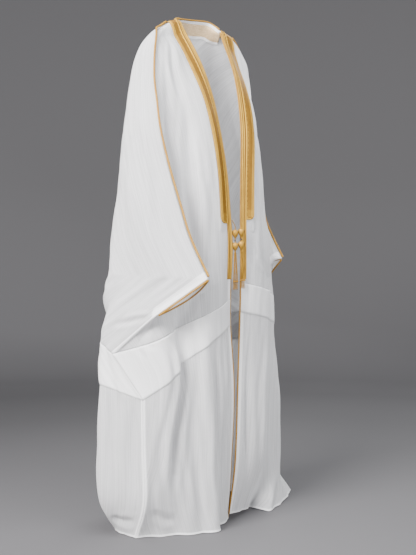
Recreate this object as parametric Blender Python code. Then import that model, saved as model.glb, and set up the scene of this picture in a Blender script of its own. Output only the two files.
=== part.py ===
"""Bisht cloak, hollow, as it hangs on a wearer, with its sleeves at its sides.

Metres, +Z up, the front faces -Y and the wearer's right is -X. The origin lies midway between
the two neck points of the shoulder seams. Each cloth panel is a net of section rows (levels)
that run from guide line to guide line; its wall is the net moved out and in along its normals.
In the tables "out" is the distance from the middle plane, towards that side's sleeve.
"""
import math

import bpy
import numpy as np

# Cloth and seams
WALL = 0.0016
HEM_WALL = 0.0030
SEAM_GAP = 0.0003
LAY_GAP = 0.0004
MITRE_LIMIT = 2.6
RIDGE_POWER = 0.55

# Gold trimmings
BAND_THICK = 0.0018
BAND_GAP = 0.0011
BACK_BAND_GAP = 0.0014
BACK_BAND_ROWS = (0.1, 1, 2, 2.5)
SHOULDER_CORD = 0.0034
SHOULDER_CLEAR = 0.0008
CUFF_CORD = 0.0030
EDGE_CORD = 0.0020
CUFF_CLEAR = 0.0008
CUFF_TRIM = {"right": (0.018, 0.022), "left": (0.018, 0.036)}
BAND_LINES = (0.0, 0.010, 0.020, 0.036, 0.052)
EDGE_BAND_LINES = 2
NECK_BAND_END = {"right": -0.625, "left": -0.609}
NECK_BAND_CORNER = 0.020
EDGE_BAND_END = -0.790

# Facing inside the back of the neck, as levels down from the neckline
TAPE_THICK = 0.0010
TAPE_LEVEL = 0.24
FACING_LEVEL = 1.0
FACING_HEM_LEVEL = 1.25

# Net of the panels: levels with a row, and columns beside the band
ROWS = (0, 0.24, 0.62, 1, 1.25, 2, 3, 4, 5, 6, 7, 8, 9, 9.25, 9.5, 9.75, 10, 10.5,
        11, 11.5, 12, 12.5, 13, 13.5, 14, 14.5, 15)
TUCK_TOP = 11
TUCK_FOOT = 12
CUFF_CORNER = 9
CUFF_FOOT = 10
SIDE_COLUMNS = 14
NECK_COLUMNS = 12
SHARP_LEVELS = (9, 10, 11, 12)

# How far along a section row each guide's height lies, from its first end to its last
FRONT_SHARES = (0.0, 0.25, 0.5, 0.75, 1.0)
HEM_SHARES = (0.0, 0.9, 1.0, 1.0, 1.0)
BACK_SHARES = (0.0, 0.22, 0.45, 0.66, 0.98, 1.0)

# Sections of each side, a row for each level, from the shoulder to the hem.
# Front rows: edge (out, y, z), chest, valley, lobe, seam (out, y, z)
RIGHT_FRONT = (
    ((.090, .024, -.004), (.115, .026, -.006), (.148, .024, -.021), (.178, .014, -.040), (.205, .000, -.055)),
    ((.087, .002, -.045), (.130, .003), (.168, .000), (.200, -.008), (.225, -.015, -.090)),
    ((.079, -.029, -.100), (.118, -.028), (.160, -.033), (.200, -.030), (.236, -.021, -.140)),
    ((.071, -.059, -.165), (.116, -.062), (.165, -.050), (.208, -.040), (.245, -.030, -.210)),
    ((.060, -.086, -.250), (.112, -.094), (.178, -.055), (.216, -.043), (.250, -.045, -.280)),
    ((.049, -.105, -.350), (.100, -.115), (.195, -.045), (.232, -.050), (.255, -.063, -.360)),
    ((.034, -.117, -.470), (.098, -.124), (.200, -.048), (.228, -.068), (.249, -.090, -.465)),
    ((.026, -.123, -.590), (.098, -.128), (.192, -.058), (.220, -.090), (.238, -.127, -.585)),
    ((.022, -.127, -.680), (.100, -.128), (.187, -.064), (.210, -.115), (.230, -.160, -.680)),
    ((.022, -.126, -.745), (.105, -.128), (.182, -.074), (.208, -.138), (.215, -.215, -.789)),
    ((.021, -.121, -.800), (.110, -.130), (.190, -.072), (.250, -.080), (.305, -.095, -.895)),
    ((.020, -.119, -.850), (.115, -.130), (.185, -.082), (.285, -.080), (.353, .030, -1.003)),
    ((.019, -.118, -.930), (.118, -.132), (.188, -.098), (.258, -.108), (.318, -.062, -1.130)),
    ((.008, -.123, -1.130), (.112, -.138), (.185, -.112), (.260, -.098), (.318, -.065, -1.280)),
    ((.002, -.106, -1.350), (.105, -.142), (.180, -.115), (.250, -.090), (.316, -.067, -1.420)),
    ((-.018, -.076, -1.522), (.098, -.143), (.170, -.112), (.237, -.066), (.310, -.022, -1.523)),
)

# The wearer's left sleeve hangs higher and less far forward than the right one
LEFT_FRONT = (
    ((.090, .024, .004), (.116, .026, .000), (.143, .027, -.008), (.168, .025, -.032), (.188, .020, -.072)),
    ((.087, .002, -.045), (.124, .003), (.153, .002), (.189, .001), (.198, .024, -.104)),
    ((.079, -.029, -.100), (.117, -.024), (.156, -.015), (.199, -.003), (.214, .030, -.152)),
    ((.071, -.059, -.165), (.114, -.056), (.154, -.036), (.203, -.010), (.226, .034, -.208)),
    ((.060, -.086, -.250), (.108, -.088), (.157, -.055), (.200, -.016), (.232, .034, -.265)),
    ((.049, -.105, -.350), (.098, -.110), (.165, -.066), (.210, -.030), (.242, .020, -.350)),
    ((.034, -.117, -.470), (.096, -.120), (.172, -.075), (.217, -.044), (.248, -.001, -.460)),
    ((.026, -.123, -.590), (.097, -.126), (.180, -.080), (.222, -.052), (.251, -.019, -.575)),
    ((.022, -.127, -.660), (.100, -.129), (.187, -.088), (.222, -.066), (.250, -.052, -.645)),
    ((.022, -.127, -.710), (.105, -.130), (.192, -.096), (.216, -.074), (.246, -.103, -.722)),
    ((.022, -.127, -.755), (.110, -.131), (.200, -.093), (.236, -.060), (.300, .035, -.815)),
    ((.022, -.126, -.800), (.115, -.132), (.198, -.103), (.242, -.061), (.335, .050, -.870)),
    ((.021, -.125, -.890), (.115, -.133), (.195, -.108), (.249, -.063), (.325, .020, -.960)),
    ((.016, -.121, -1.100), (.110, -.135), (.190, -.105), (.266, -.074), (.328, .000, -1.200)),
    ((.013, -.113, -1.340), (.110, -.118), (.165, -.095), (.264, -.076), (.330, .000, -1.400)),
    ((.010, -.089, -1.505), (.135, -.055), (.165, -.040), (.187, -.116), (.425, .004, -1.522)),
)

# Side rows, behind the seam: face, side
RIGHT_SIDE = (
    ((.178, .014, -.040), (.148, .024, -.021)),
    ((.216, .012), (.200, .033)),
    ((.240, .018), (.228, .054)),
    ((.254, .020), (.245, .064)),
    ((.270, .010), (.261, .067)),
    ((.286, .002), (.276, .070)),
    ((.294, -.014), (.288, .073)),
    ((.298, -.035), (.300, .073)),
    ((.298, -.055), (.308, .074)),
    ((.295, -.085), (.318, .077)),
    ((.330, -.005), (.334, .084)),
    ((.350, .058), (.343, .088)),
    ((.348, .005), (.352, .089)),
    ((.350, .008), (.358, .092)),
    ((.349, .010), (.356, .093)),
    ((.308, .025), (.300, .076)),
)

LEFT_SIDE = (
    ((.168, .025, -.032), (.143, .027, -.008)),
    ((.200, .046), (.186, .063)),
    ((.228, .050), (.220, .067)),
    ((.243, .050), (.240, .067)),
    ((.254, .046), (.258, .070)),
    ((.270, .038), (.275, .073)),
    ((.284, .030), (.290, .076)),
    ((.292, .018), (.303, .078)),
    ((.293, .004), (.312, .079)),
    ((.290, -.022), (.320, .081)),
    ((.320, .056), (.332, .086)),
    ((.342, .070), (.342, .088)),
    ((.343, .055), (.348, .090)),
    ((.346, .045), (.354, .093)),
    ((.348, .045), (.356, .096)),
    ((.392, .050), (.345, .100)),
)

SIDES = {"right": (RIGHT_FRONT, RIGHT_SIDE, -1), "left": (LEFT_FRONT, LEFT_SIDE, 1)}

# Back between the sides: blade (out, y), spine (out, y), middle (y, z)
BACK = (
    ((.092, .026, .000), (.064, .058, .024), (.065, .028)),
    ((.150, .060), (.080, .078), (.080, -.022)),
    ((.170, .085), (.095, .092), (.093, -.075)),
    ((.178, .106), (.100, .108), (.108, -.135)),
    ((.182, .122), (.100, .125), (.122, -.225)),
    ((.186, .138), (.100, .142), (.136, -.345)),
    ((.192, .150), (.100, .156), (.149, -.470)),
    ((.196, .159), (.100, .166), (.158, -.590)),
    ((.199, .165), (.102, .173), (.165, -.680)),
    ((.202, .169), (.103, .178), (.170, -.760)),
    ((.204, .173), (.104, .182), (.175, -.840)),
    ((.206, .177), (.105, .187), (.180, -.930)),
    ((.208, .183), (.106, .193), (.187, -1.030)),
    ((.210, .193), (.107, .203), (.197, -1.210)),
    ((.210, .200), (.108, .210), (.204, -1.390)),
    ((.190, .180), (.100, .198), (.196, -1.521)),
)

# Back neckline from the right neck point to the left one
NECKLINE = ((-.090, .024, -.004), (-.088, .045, .006), (-.064, .059, .018), (0, .065, .026),
            (.066, .059, .033), (.088, .045, .021), (.090, .024, .004))

# How far the front edge of each cuff stands off the straight line from its top to its foot
CUFF_BOW = {"right": (-.051, .020, .000), "left": (-.033, -.010, .020)}

# Main folds: panel, share across its rows, first level, half width, depth (outwards positive)
FOLDS = (
    ("front_right", .36, 2.0, .022, .006),
    ("front_right", .47, 3.5, .020, -.006),
    ("front_right", .22, 10.5, .024, -.016),
    ("front_right", .60, 11.0, .024, .007),
    ("front_right", .78, 10.5, .026, .006),
    ("front_left", .34, 2.0, .022, .005),
    ("front_left", .45, 4.0, .022, -.006),
    ("front_left", .30, 11.0, .026, -.008),
    ("front_left", .55, 11.5, .024, -.012),
    ("front_left", .82, 11.0, .028, .008),
    ("back", .125, 2.5, .030, .004),
    ("back", .19, 3.5, .034, -.009),
    ("back", .25, 4.0, .036, .010),
    ("back", .31, 2.5, .034, -.010),
    ("back", .37, 1.5, .036, .011),
    ("back", .43, 1.5, .036, -.011),
    ("back", .50, 2.0, .038, .012),
    ("back", .565, 1.5, .036, -.011),
    ("back", .63, 1.5, .036, .011),
    ("back", .69, 2.5, .034, -.010),
    ("back", .75, 4.0, .036, .010),
    ("back", .81, 3.5, .034, -.009),
    ("back", .875, 2.5, .030, .005),
)
FOLD_GROWTH = 6.0
FOLD_MARGIN = 0.045

# Toggles: place of each side's bead string (x, y), height at which it leaves the front's edge
# cord with the direction (x, y) in which it lies off it, and heights along it
TOGGLE = {"right": (-.0085, -.1300), "left": (.0110, -.1370)}
TOGGLE_TOP = {"right": (-.612, .80, -.60), "left": (-.622, -.55, -.83)}
BEAD_UPPER = -.6547
BEAD_SPACER = -.6745
BEAD_LOWER = -.6930
BEAD_DROP = {"right": 0.0, "left": .004}
TOGGLE_CORD = 0.0011
BEAD_SIDES = 10
SPACER_RADIUS = 0.0029
# Bead outline: radius, height from the bead's middle
BEAD_OUTLINE = ((.0022, .0120), (.0056, .0116), (.0080, .0084), (.0083, .0046), (.0074, .0002),
                (.0055, -.0044), (.0032, -.0084), (.0013, -.0116), (.0010, -.0167))
LOWER_OUTLINE = ((.0010, .0154),) + BEAD_OUTLINE[:-1]

# Tassels: strands that leave a small head and end in a knot and a short loop
STRANDS = {"right": (-.0150, -.0095, -.0040, .0015), "left": (.0085, .0145, .0205, .0265)}
HEAD_HALF = (.0046, .0022, .0030)
STRAND_HALF = 0.0009
# Strand sections below the head: share of the spread, drop from the head, half width, half depth
STRAND_STEPS = ((.25, .012, 1.0, 1.0), (.55, .034, 1.0, 1.0), (.85, .060, 1.0, 1.0), (1, .080, 1.0, 1.0),
                (1, .0825, 2.4, 2.4), (1, .0875, 2.4, 2.4), (1, .090, 1.0, 1.0), (1, .095, 1.9, 1.0),
                (1, .104, 2.1, 1.0), (1, .110, 1.2, 1.0))

# Colours, red green blue: first looks only
WHITE = (.80, .80, .80)
GOLD = (.62, .40, .13)
BEIGE = (.62, .52, .38)
DARK = (.03, .02, .015)


def clear_scene():
    for old in list(bpy.data.objects):
        bpy.data.objects.remove(old, do_unlink=True)


def material(name, colour, roughness, metallic):
    made = bpy.data.materials.new(name)
    made.use_nodes = True
    shader = made.node_tree.nodes["Principled BSDF"]
    shader.inputs["Base Color"].default_value = (*colour, 1.0)
    shader.inputs["Roughness"].default_value = roughness
    shader.inputs["Metallic"].default_value = metallic
    return made


def cloth(name):
    return material(name, WHITE, 0.85, 0.0)


def gold(name):
    return material(name, GOLD, 0.45, 0.6)


def add_object(name, vertices, faces, look):
    mesh = bpy.data.meshes.new(name)
    mesh.from_pydata([tuple(map(float, v)) for v in vertices], [], faces)
    mesh.materials.append(look)
    mesh.shade_smooth()
    mesh.set_sharp_from_angle(angle=math.radians(50))
    made = bpy.data.objects.new(name, mesh)
    bpy.context.scene.collection.objects.link(made)
    return made


# Curves and nets

def smooth(value):
    value = np.clip(value, 0.0, 1.0)
    return value * value * (3 - 2 * value)


def unit(vectors):
    return vectors / np.linalg.norm(vectors, axis=-1, keepdims=True)


def spline(table, places, corners=()):
    """Points between the rows of a table; a corner row has straight runs on both sides."""
    table = np.asarray(table, float)
    places = np.atleast_1d(np.asarray(places, float))
    chords = np.diff(table, axis=0)
    before = np.concatenate([chords[:1], chords])
    after = np.concatenate([chords, chords[-1:]])
    leaving = (before + after) / 2
    arriving = leaving.copy()
    for corner in corners:
        leaving[corner] = after[corner]
        arriving[corner] = before[corner]
    cell = np.clip(np.floor(places).astype(int), 0, len(table) - 2)
    f = (places - cell).reshape((-1,) + (1,) * (table.ndim - 1))
    return ((2 * f ** 3 - 3 * f ** 2 + 1) * table[cell] + (f ** 3 - 2 * f ** 2 + f) * leaving[cell]
            + (3 * f ** 2 - 2 * f ** 3) * table[cell + 1] + (f ** 3 - f ** 2) * arriving[cell + 1])


def run_of(points, steps=12):
    """A dense curve through the points, and the length up to each of its own points."""
    dense = spline(points, np.linspace(0, len(points) - 1, steps * (len(points) - 1) + 1))
    lengths = np.linalg.norm(np.diff(dense, axis=0), axis=1)
    return dense, np.concatenate([[0.0], np.cumsum(lengths)])


def on_run(run, distances):
    dense, lengths = run
    return np.stack([np.interp(distances, lengths, dense[:, axis]) for axis in range(3)], axis=1)


def guide(places, heights, sign):
    """A guide down one side; a place with a third value has its own height."""
    own = [place[2] if len(place) == 3 else height for place, height in zip(places, heights)]
    return np.array([(sign * place[0], place[1], height) for place, height in zip(places, own)])


def side_guides(side, levels):
    """Front and back guide points of one side at the given levels, in world coordinates."""
    front_rows, side_rows, sign = SIDES[side]
    edge_z = np.array([row[0][2] for row in front_rows])
    seam_z = np.array([row[4][2] for row in front_rows])
    middle_z = np.array([row[2][1] for row in BACK])
    shares = np.array([FRONT_SHARES] * (len(front_rows) - 1) + [HEM_SHARES])
    front = [guide([row[k] for row in front_rows], edge_z + (seam_z - edge_z) * shares[:, k], sign)
             for k in range(5)]
    rise = middle_z - seam_z
    back = [front[4]]
    back += [guide([row[k] for row in side_rows], seam_z + rise * BACK_SHARES[k + 1], sign)
             for k in (0, 1)]
    back += [guide([row[k] for row in BACK], seam_z + rise * BACK_SHARES[k + 3], sign)
             for k in (0, 1)]
    sharp = [spline(line, levels, SHARP_LEVELS) for line in (front[4], back[1])]
    fronts = [spline(line, levels) for line in front[:4]] + [sharp[0]]
    backs = [sharp[0], sharp[1]] + [spline(line, levels) for line in back[2:]]
    for line in fronts[1:4] + backs[1:]:
        round_ridge(line, levels)
    return np.stack(fronts, axis=1), np.stack(backs, axis=1)


def round_ridge(line, levels):
    """Let front and back part quickly below the shoulder line, so that it is a round ridge."""
    foot = np.interp(1.0, levels, line[:, 1])
    near = (levels > 0) & (levels < 1)
    line[near, 1] = line[0, 1] + (foot - line[0, 1]) * levels[near] ** RIDGE_POWER


def bow_cuff(guides, side, levels):
    """Move the front edge of the cuff in from the straight line that the back edge keeps."""
    out, along, up = CUFF_BOW[side]
    sign = SIDES[side][2]
    inside = (levels > CUFF_CORNER) & (levels < CUFF_FOOT)
    amount = np.where(inside, np.sin(math.pi * (levels - CUFF_CORNER)), 0.0)
    guides[:, 4] += amount[:, None] * np.array([sign * out, along, up])


def front_net(guides):
    """Rows of points from the front edge to the seam; the band's lines keep their distances."""
    rows = []
    shares = []
    for points in guides:
        run = run_of(points)
        length = run[1][-1]
        rest = np.linspace(BAND_LINES[-1], length, SIDE_COLUMNS + 1)[1:]
        distances = np.concatenate([BAND_LINES, rest])
        rows.append(on_run(run, distances))
        shares.append(distances / length)
    return np.array(rows), np.array(shares)


def neckline_points():
    run = run_of(np.array(NECKLINE))
    return on_run(run, np.linspace(0, run[1][-1], NECK_COLUMNS + 1))


def back_net(right, left, front_right, front_left, levels):
    """Rows from the right seam round the back to the left one; the first row is the fronts' own."""
    middle = np.array([row[2] for row in BACK])
    middle = spline(np.column_stack([np.zeros(len(BACK)), middle]), levels)
    guides = np.concatenate([right, middle[:, None], left[:, ::-1]], axis=1)
    shoulder_right = front_right[0][::-1]
    shoulder_left = front_left[0]
    first = np.concatenate([shoulder_right, neckline_points()[1:-1], shoulder_left])
    steps = np.linalg.norm(np.diff(first, axis=0), axis=1)
    first_share = np.concatenate([[0.0], np.cumsum(steps)]) / steps.sum()
    even = np.linspace(0, 1, len(first))
    rows = []
    shares = []
    for level, points in zip(levels, guides):
        run = run_of(points)
        share = first_share + (even - first_share) * smooth(level / 4)
        rows.append(on_run(run, share * run[1][-1]))
        shares.append(share)
    rows[0] = first
    return np.array(rows), np.array(shares)


def net_normals(net, flip):
    across = np.gradient(net, axis=1)
    down = np.gradient(net, axis=0)
    normals = unit(np.cross(across, down))
    for row, inner_row in ((0, 1), (-1, -2)):
        for column, inner_column in ((0, 1), (-1, -2)):
            normals[row, column] = normals[inner_row, inner_column]
    return -normals if flip else normals


def fold_net(panel, net, shares, levels, flip):
    """Raise the panel's main folds along its normals; they fade out towards its seams."""
    normals = net_normals(net, flip)
    lengths = np.linalg.norm(np.diff(net, axis=1), axis=2).sum(axis=1)
    fade = smooth(np.minimum(shares, 1 - shares) / FOLD_MARGIN)
    height = np.zeros(shares.shape)
    for name, share, first, half_width, depth in FOLDS:
        if name == panel:
            ramp = smooth((levels - first) / FOLD_GROWTH)[:, None]
            distance = (shares - share) * lengths[:, None]
            height += depth * ramp * np.exp(-(distance / half_width) ** 2)
    return net + normals * (height * fade)[:, :, None]


def join_seam(first, second, cells):
    """Mitre two walls along a shared line, and part them by the seam gap."""
    (net_a, out_a), (net_b, out_b) = first, second
    line = np.array([net_a[a] for a, _, _, _ in cells])
    tangents = np.gradient(line, axis=0)
    shifts = []
    for (a, inner_a, b, inner_b), tangent in zip(cells, tangents):
        shared = unit(out_a[a] + out_b[b])
        half = max(float(np.dot(unit(out_a[a]), shared)), 1 / MITRE_LIMIT)
        across = unit(np.cross(tangent, shared))
        towards = (net_a[inner_a] - net_a[a]) - (net_b[inner_b] - net_b[b])
        if np.dot(towards, across) < 0:
            across = -across
        shifts.append((a, b, across * SEAM_GAP / 2, shared / half))
    for a, b, shift, vector in shifts:
        net_a[a] = net_a[a] + shift
        net_b[b] = net_b[b] - shift
        out_a[a] = vector
        out_b[b] = vector


def make_panels():
    """The three panels at full length: points, and the vectors along which their walls grow."""
    levels = np.array(ROWS, float)
    front_r, back_r = side_guides("right", levels)
    front_l, back_l = side_guides("left", levels)
    bow_cuff(front_r, "right", levels)
    bow_cuff(front_l, "left", levels)
    net_r, share_r = front_net(front_r)
    net_l, share_l = front_net(front_l)
    net_b, share_b = back_net(back_r, back_l, net_r, net_l, levels)
    panels = {}
    for name, net, share, flip in (("front_right", net_r, share_r, False),
                                   ("front_left", net_l, share_l, True),
                                   ("back", net_b, share_b, False)):
        net = fold_net(name, net, share, levels, flip)
        panels[name] = [net, net_normals(net, flip)]
    join_sides(panels, levels)
    return panels, levels


def join_sides(panels, levels):
    """Join each front to the back: down the sleeve and side, then along the shoulder."""
    front_last = len(BAND_LINES) + SIDE_COLUMNS - 1
    back_last = panels["back"][0].shape[1] - 1
    shared = [row for row, level in enumerate(levels) if row and not CUFF_CORNER < level < CUFF_FOOT]
    sleeve = [row for row in shared if levels[row] <= CUFF_CORNER]
    side = [row for row in shared if levels[row] >= CUFF_FOOT]
    for front, end, step in (("front_right", 0, 1), ("front_left", back_last, -1)):
        for rows in (sleeve, side):
            cells = [((r, front_last), (r, front_last - 1), (r, end), (r, end + step)) for r in rows]
            join_seam(panels[front], panels["back"], cells)
        cells = []
        for column in range(front_last + 1):
            match = end + step * (front_last - column)
            turn = int(column == front_last)
            cells.append(((0, column), (1, column - turn), (0, match), (1, match + turn * step)))
        join_seam(panels[front], panels["back"], cells)


def part_rows(panel, first, last, gap_first, gap_last):
    """Some rows of a panel, with its first or last row drawn back by half a seam gap."""
    net = panel[0][first:last + 1].copy()
    out = panel[1][first:last + 1].copy()
    if gap_first:
        net[0] += unit(net[1] - net[0]) * SEAM_GAP / 2
    if gap_last:
        net[-1] += unit(net[-2] - net[-1]) * SEAM_GAP / 2
    return net, out


# Solids

def grid_faces(rows, columns, base, reverse):
    faces = []
    for r in range(rows - 1):
        for c in range(columns - 1):
            a = base + r * columns + c
            b, d = a + 1, a + columns
            e = d + 1
            pair = ((a, b, e), (a, e, d))
            faces.extend(tuple(reversed(f)) if reverse else f for f in pair)
    return faces


def border(rows, columns):
    """Vertex numbers once round a grid."""
    top = list(range(columns))
    right = [r * columns + columns - 1 for r in range(1, rows)]
    bottom = [(rows - 1) * columns + c for c in range(columns - 2, -1, -1)]
    left = [r * columns for r in range(rows - 2, 0, -1)]
    return top + right + bottom + left


def wall(name, net, out, low, high, flip, look):
    """A closed sheet between two heights over a net. Heights may be numbers or a value a row."""
    rows, columns = net.shape[:2]
    low = np.broadcast_to(np.asarray(low, float), (rows,))[:, None, None]
    high = np.broadcast_to(np.asarray(high, float), (rows,))[:, None, None]
    outer = (net + out * high).reshape(-1, 3)
    inner = (net + out * low).reshape(-1, 3)
    count = rows * columns
    faces = grid_faces(rows, columns, 0, flip) + grid_faces(rows, columns, count, not flip)
    ring = border(rows, columns)
    for a, b in zip(ring, ring[1:] + ring[:1]):
        pair = ((b, a, a + count), (b, a + count, b + count))
        if np.linalg.norm(outer[b] - inner[a]) > np.linalg.norm(outer[a] - inner[b]):
            pair = ((b, a, b + count), (a, a + count, b + count))
        faces.extend(tuple(reversed(f)) if flip else f for f in pair)
    return add_object(name, np.concatenate([outer, inner]), faces, look)


def cord(name, centres, radius, look, resolution=1):
    """A round cord along its points: a poly curve with a bevel and filled caps."""
    curve = bpy.data.curves.new(name, "CURVE")
    curve.dimensions = "3D"
    curve.bevel_depth = radius
    curve.bevel_resolution = resolution
    curve.use_fill_caps = True
    curve.resolution_u = 1
    curve.render_resolution_u = 0
    line = curve.splines.new("POLY")
    line.points.add(len(centres) - 1)
    for point, place in zip(line.points, centres):
        point.co = (*map(float, place), 1.0)
    curve.materials.append(look)
    made = bpy.data.objects.new(name, curve)
    bpy.context.scene.collection.objects.link(made)
    return made


def turned(name, outline, centre, look):
    """A solid turned about a vertical line through its centre, from radius and height pairs."""
    vertices = [(centre[0], centre[1], centre[2] + outline[0][1])]
    for radius, height in outline:
        for k in range(BEAD_SIDES):
            angle = 2 * math.pi * k / BEAD_SIDES
            vertices.append((centre[0] + radius * math.cos(angle),
                             centre[1] + radius * math.sin(angle), centre[2] + height))
    vertices.append((centre[0], centre[1], centre[2] + outline[-1][1]))
    faces = []
    last = len(vertices) - 1
    for k in range(BEAD_SIDES):
        n = (k + 1) % BEAD_SIDES
        faces.append((0, 1 + k, 1 + n))
        for ring in range(len(outline) - 1):
            a = 1 + ring * BEAD_SIDES
            b = a + BEAD_SIDES
            faces.append((a + k, b + k, b + n, a + n))
        base = last - BEAD_SIDES
        faces.append((last, base + n, base + k))
    return add_object(name, vertices, faces, look)


# Cloth pieces

def make_cloth(panels, levels):
    top_row = ROWS.index(TUCK_TOP)
    foot_row = ROWS.index(TUCK_FOOT)
    last_row = len(ROWS) - 1
    half = WALL / 2
    for name, panel in panels.items():
        flip = name == "front_left"
        net, out = part_rows(panel, 0, top_row, False, True)
        wall(name + "_top", net, out, -half, half, flip, cloth(name + "_top"))
        net, out = part_rows(panel, top_row, last_row, True, False)
        grow = np.full(len(net), half)
        grow[-1] = HEM_WALL / 2
        wall(name + "_skirt", net, out, -grow, grow, flip, cloth(name + "_skirt"))
        net, out = part_rows(panel, top_row, foot_row, True, False)
        low = half + LAY_GAP
        wall("tuck_" + name, net, out, low, low + WALL, flip, cloth("tuck_" + name))


def make_facing(panels):
    """Tape, facing and its hem inside the back of the neck."""
    net, out = panels["back"]
    first = SIDE_COLUMNS + len(BAND_LINES) - 1
    columns = slice(first, first + NECK_COLUMNS + 1)
    marks = (0, TAPE_LEVEL, FACING_LEVEL, FACING_HEM_LEVEL)
    high = -(WALL / 2 + LAY_GAP)
    for name, start, end, look in (("neck_tape", marks[0], marks[1], cloth("neck_tape")),
                                   ("neck_facing", marks[1], marks[2],
                                    material("neck_facing", BEIGE, 0.8, 0.0)),
                                   ("facing_hem", marks[2], marks[3], cloth("facing_hem"))):
        rows = part_rows((net[:, columns], out[:, columns]), ROWS.index(start), ROWS.index(end),
                         start > 0, True)
        wall(name, rows[0], rows[1], high - TAPE_THICK, high, False, look)


# Gold pieces

def row_at_height(net, column, height):
    """Place down a column, in rows, where it reaches a height."""
    return float(np.interp(-height, -net[:, column, 2], np.arange(len(net))))


def at(panel, row, column):
    """Point and wall vector at any place of a panel's net."""
    net, out = panel
    r = min(int(row), net.shape[0] - 2)
    c = min(int(column), net.shape[1] - 2)
    u, v = row - r, column - c
    shares = ((1 - u) * (1 - v), (1 - u) * v, u * (1 - v), u * v)
    cells = ((r, c), (r, c + 1), (r + 1, c), (r + 1, c + 1))
    return (sum(s * net[k] for s, k in zip(shares, cells)),
            sum(s * out[k] for s, k in zip(shares, cells)))


def strip(panel, first, last, start, ends):
    """Rows of a front panel between two columns, from a row down to its own end in each column."""
    net, out = panel
    rows = [k for k in range(len(net)) if start < k < min(ends) - 0.25]
    places = [[at(panel, start, c) for c in range(first, last + 1)]]
    places += [[(net[k, c], out[k, c]) for c in range(first, last + 1)] for k in rows]
    places.append([at(panel, end, c) for c, end in zip(range(first, last + 1), ends)])
    points = np.array([[p for p, _ in row] for row in places])
    vectors = np.array([[v for _, v in row] for row in places])
    return points, vectors


def narrow(points, low_side, high_side):
    """Draw the sides of a strip in by half a seam gap."""
    points = points.copy()
    if low_side:
        points[:, 0] += unit(points[:, 1] - points[:, 0]) * SEAM_GAP / 2
    if high_side:
        points[:, -1] += unit(points[:, -2] - points[:, -1]) * SEAM_GAP / 2
    return points


def make_bands(panels):
    """The edge band and the wider neck band beside it, down each front."""
    low = WALL / 2 + BAND_GAP
    high = low + BAND_THICK
    last = len(BAND_LINES) - 1
    for side in ("right", "left"):
        panel = panels["front_" + side]
        flip = side == "left"
        end = row_at_height(panel[0], 0, EDGE_BAND_END)
        net, out = strip(panel, 0, EDGE_BAND_LINES, 0, [end] * (EDGE_BAND_LINES + 1))
        wall("edge_band_" + side, narrow(net, False, True), out, low, high, flip,
             gold("edge_band_" + side))
        ends = []
        for column in range(EDGE_BAND_LINES, last + 1):
            from_side = BAND_LINES[last] - BAND_LINES[column]
            inside = max(NECK_BAND_CORNER - from_side, 0.0)
            rise = NECK_BAND_CORNER - math.sqrt(NECK_BAND_CORNER ** 2 - inside ** 2)
            ends.append(row_at_height(panel[0], column, NECK_BAND_END[side] + rise))
        net, out = strip(panel, EDGE_BAND_LINES, last, 0, ends)
        wall("neck_band_" + side, narrow(net, True, False), out, low, high, flip,
             gold("neck_band_" + side))


def make_back_band(panels):
    """The band round the back of the neck, as wide as the fronts' bands that it meets."""
    neck = SIDE_COLUMNS + len(BAND_LINES) - 1
    side = len(BAND_LINES) - 1
    columns = range(neck - side, neck + NECK_COLUMNS + side + 1)
    places = [[at(panels["back"], row, column) for column in columns] for row in BACK_BAND_ROWS]
    points = np.array([[p for p, _ in row] for row in places])
    vectors = np.array([[v for _, v in row] for row in places])
    low = WALL / 2 + BACK_BAND_GAP
    wall("neck_band_back", points, vectors, low, low + BAND_THICK, False, gold("neck_band_back"))


def edge_line(panel, cells, inner_cells, clear):
    """Points beside a panel's free edge, a clear distance off it in its own plane."""
    net, out = panel
    line = np.array([net[k] for k in cells])
    inner = np.array([net[k] for k in inner_cells])
    normals = unit(np.array([out[k] for k in cells]))
    normals[0], normals[-1] = normals[1], normals[-2]
    tangents = unit(np.gradient(line, axis=0))
    away = unit(line - inner)
    away = away - tangents * (away * tangents).sum(axis=1, keepdims=True)
    away = unit(away - normals * (away * normals).sum(axis=1, keepdims=True))
    return line + away * clear


def trimmed(points, start, end):
    """A line shortened by a length at each end."""
    lengths = np.concatenate([[0.0], np.cumsum(np.linalg.norm(np.diff(points, axis=0), axis=1))])
    keep = [p for p, n in zip(points, lengths) if start + 0.004 < n < lengths[-1] - end - 0.004]
    ends = [[np.interp(n, lengths, points[:, axis]) for axis in range(3)]
            for n in (start, lengths[-1] - end)]
    return np.array([ends[0]] + keep + [ends[1]])


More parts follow.
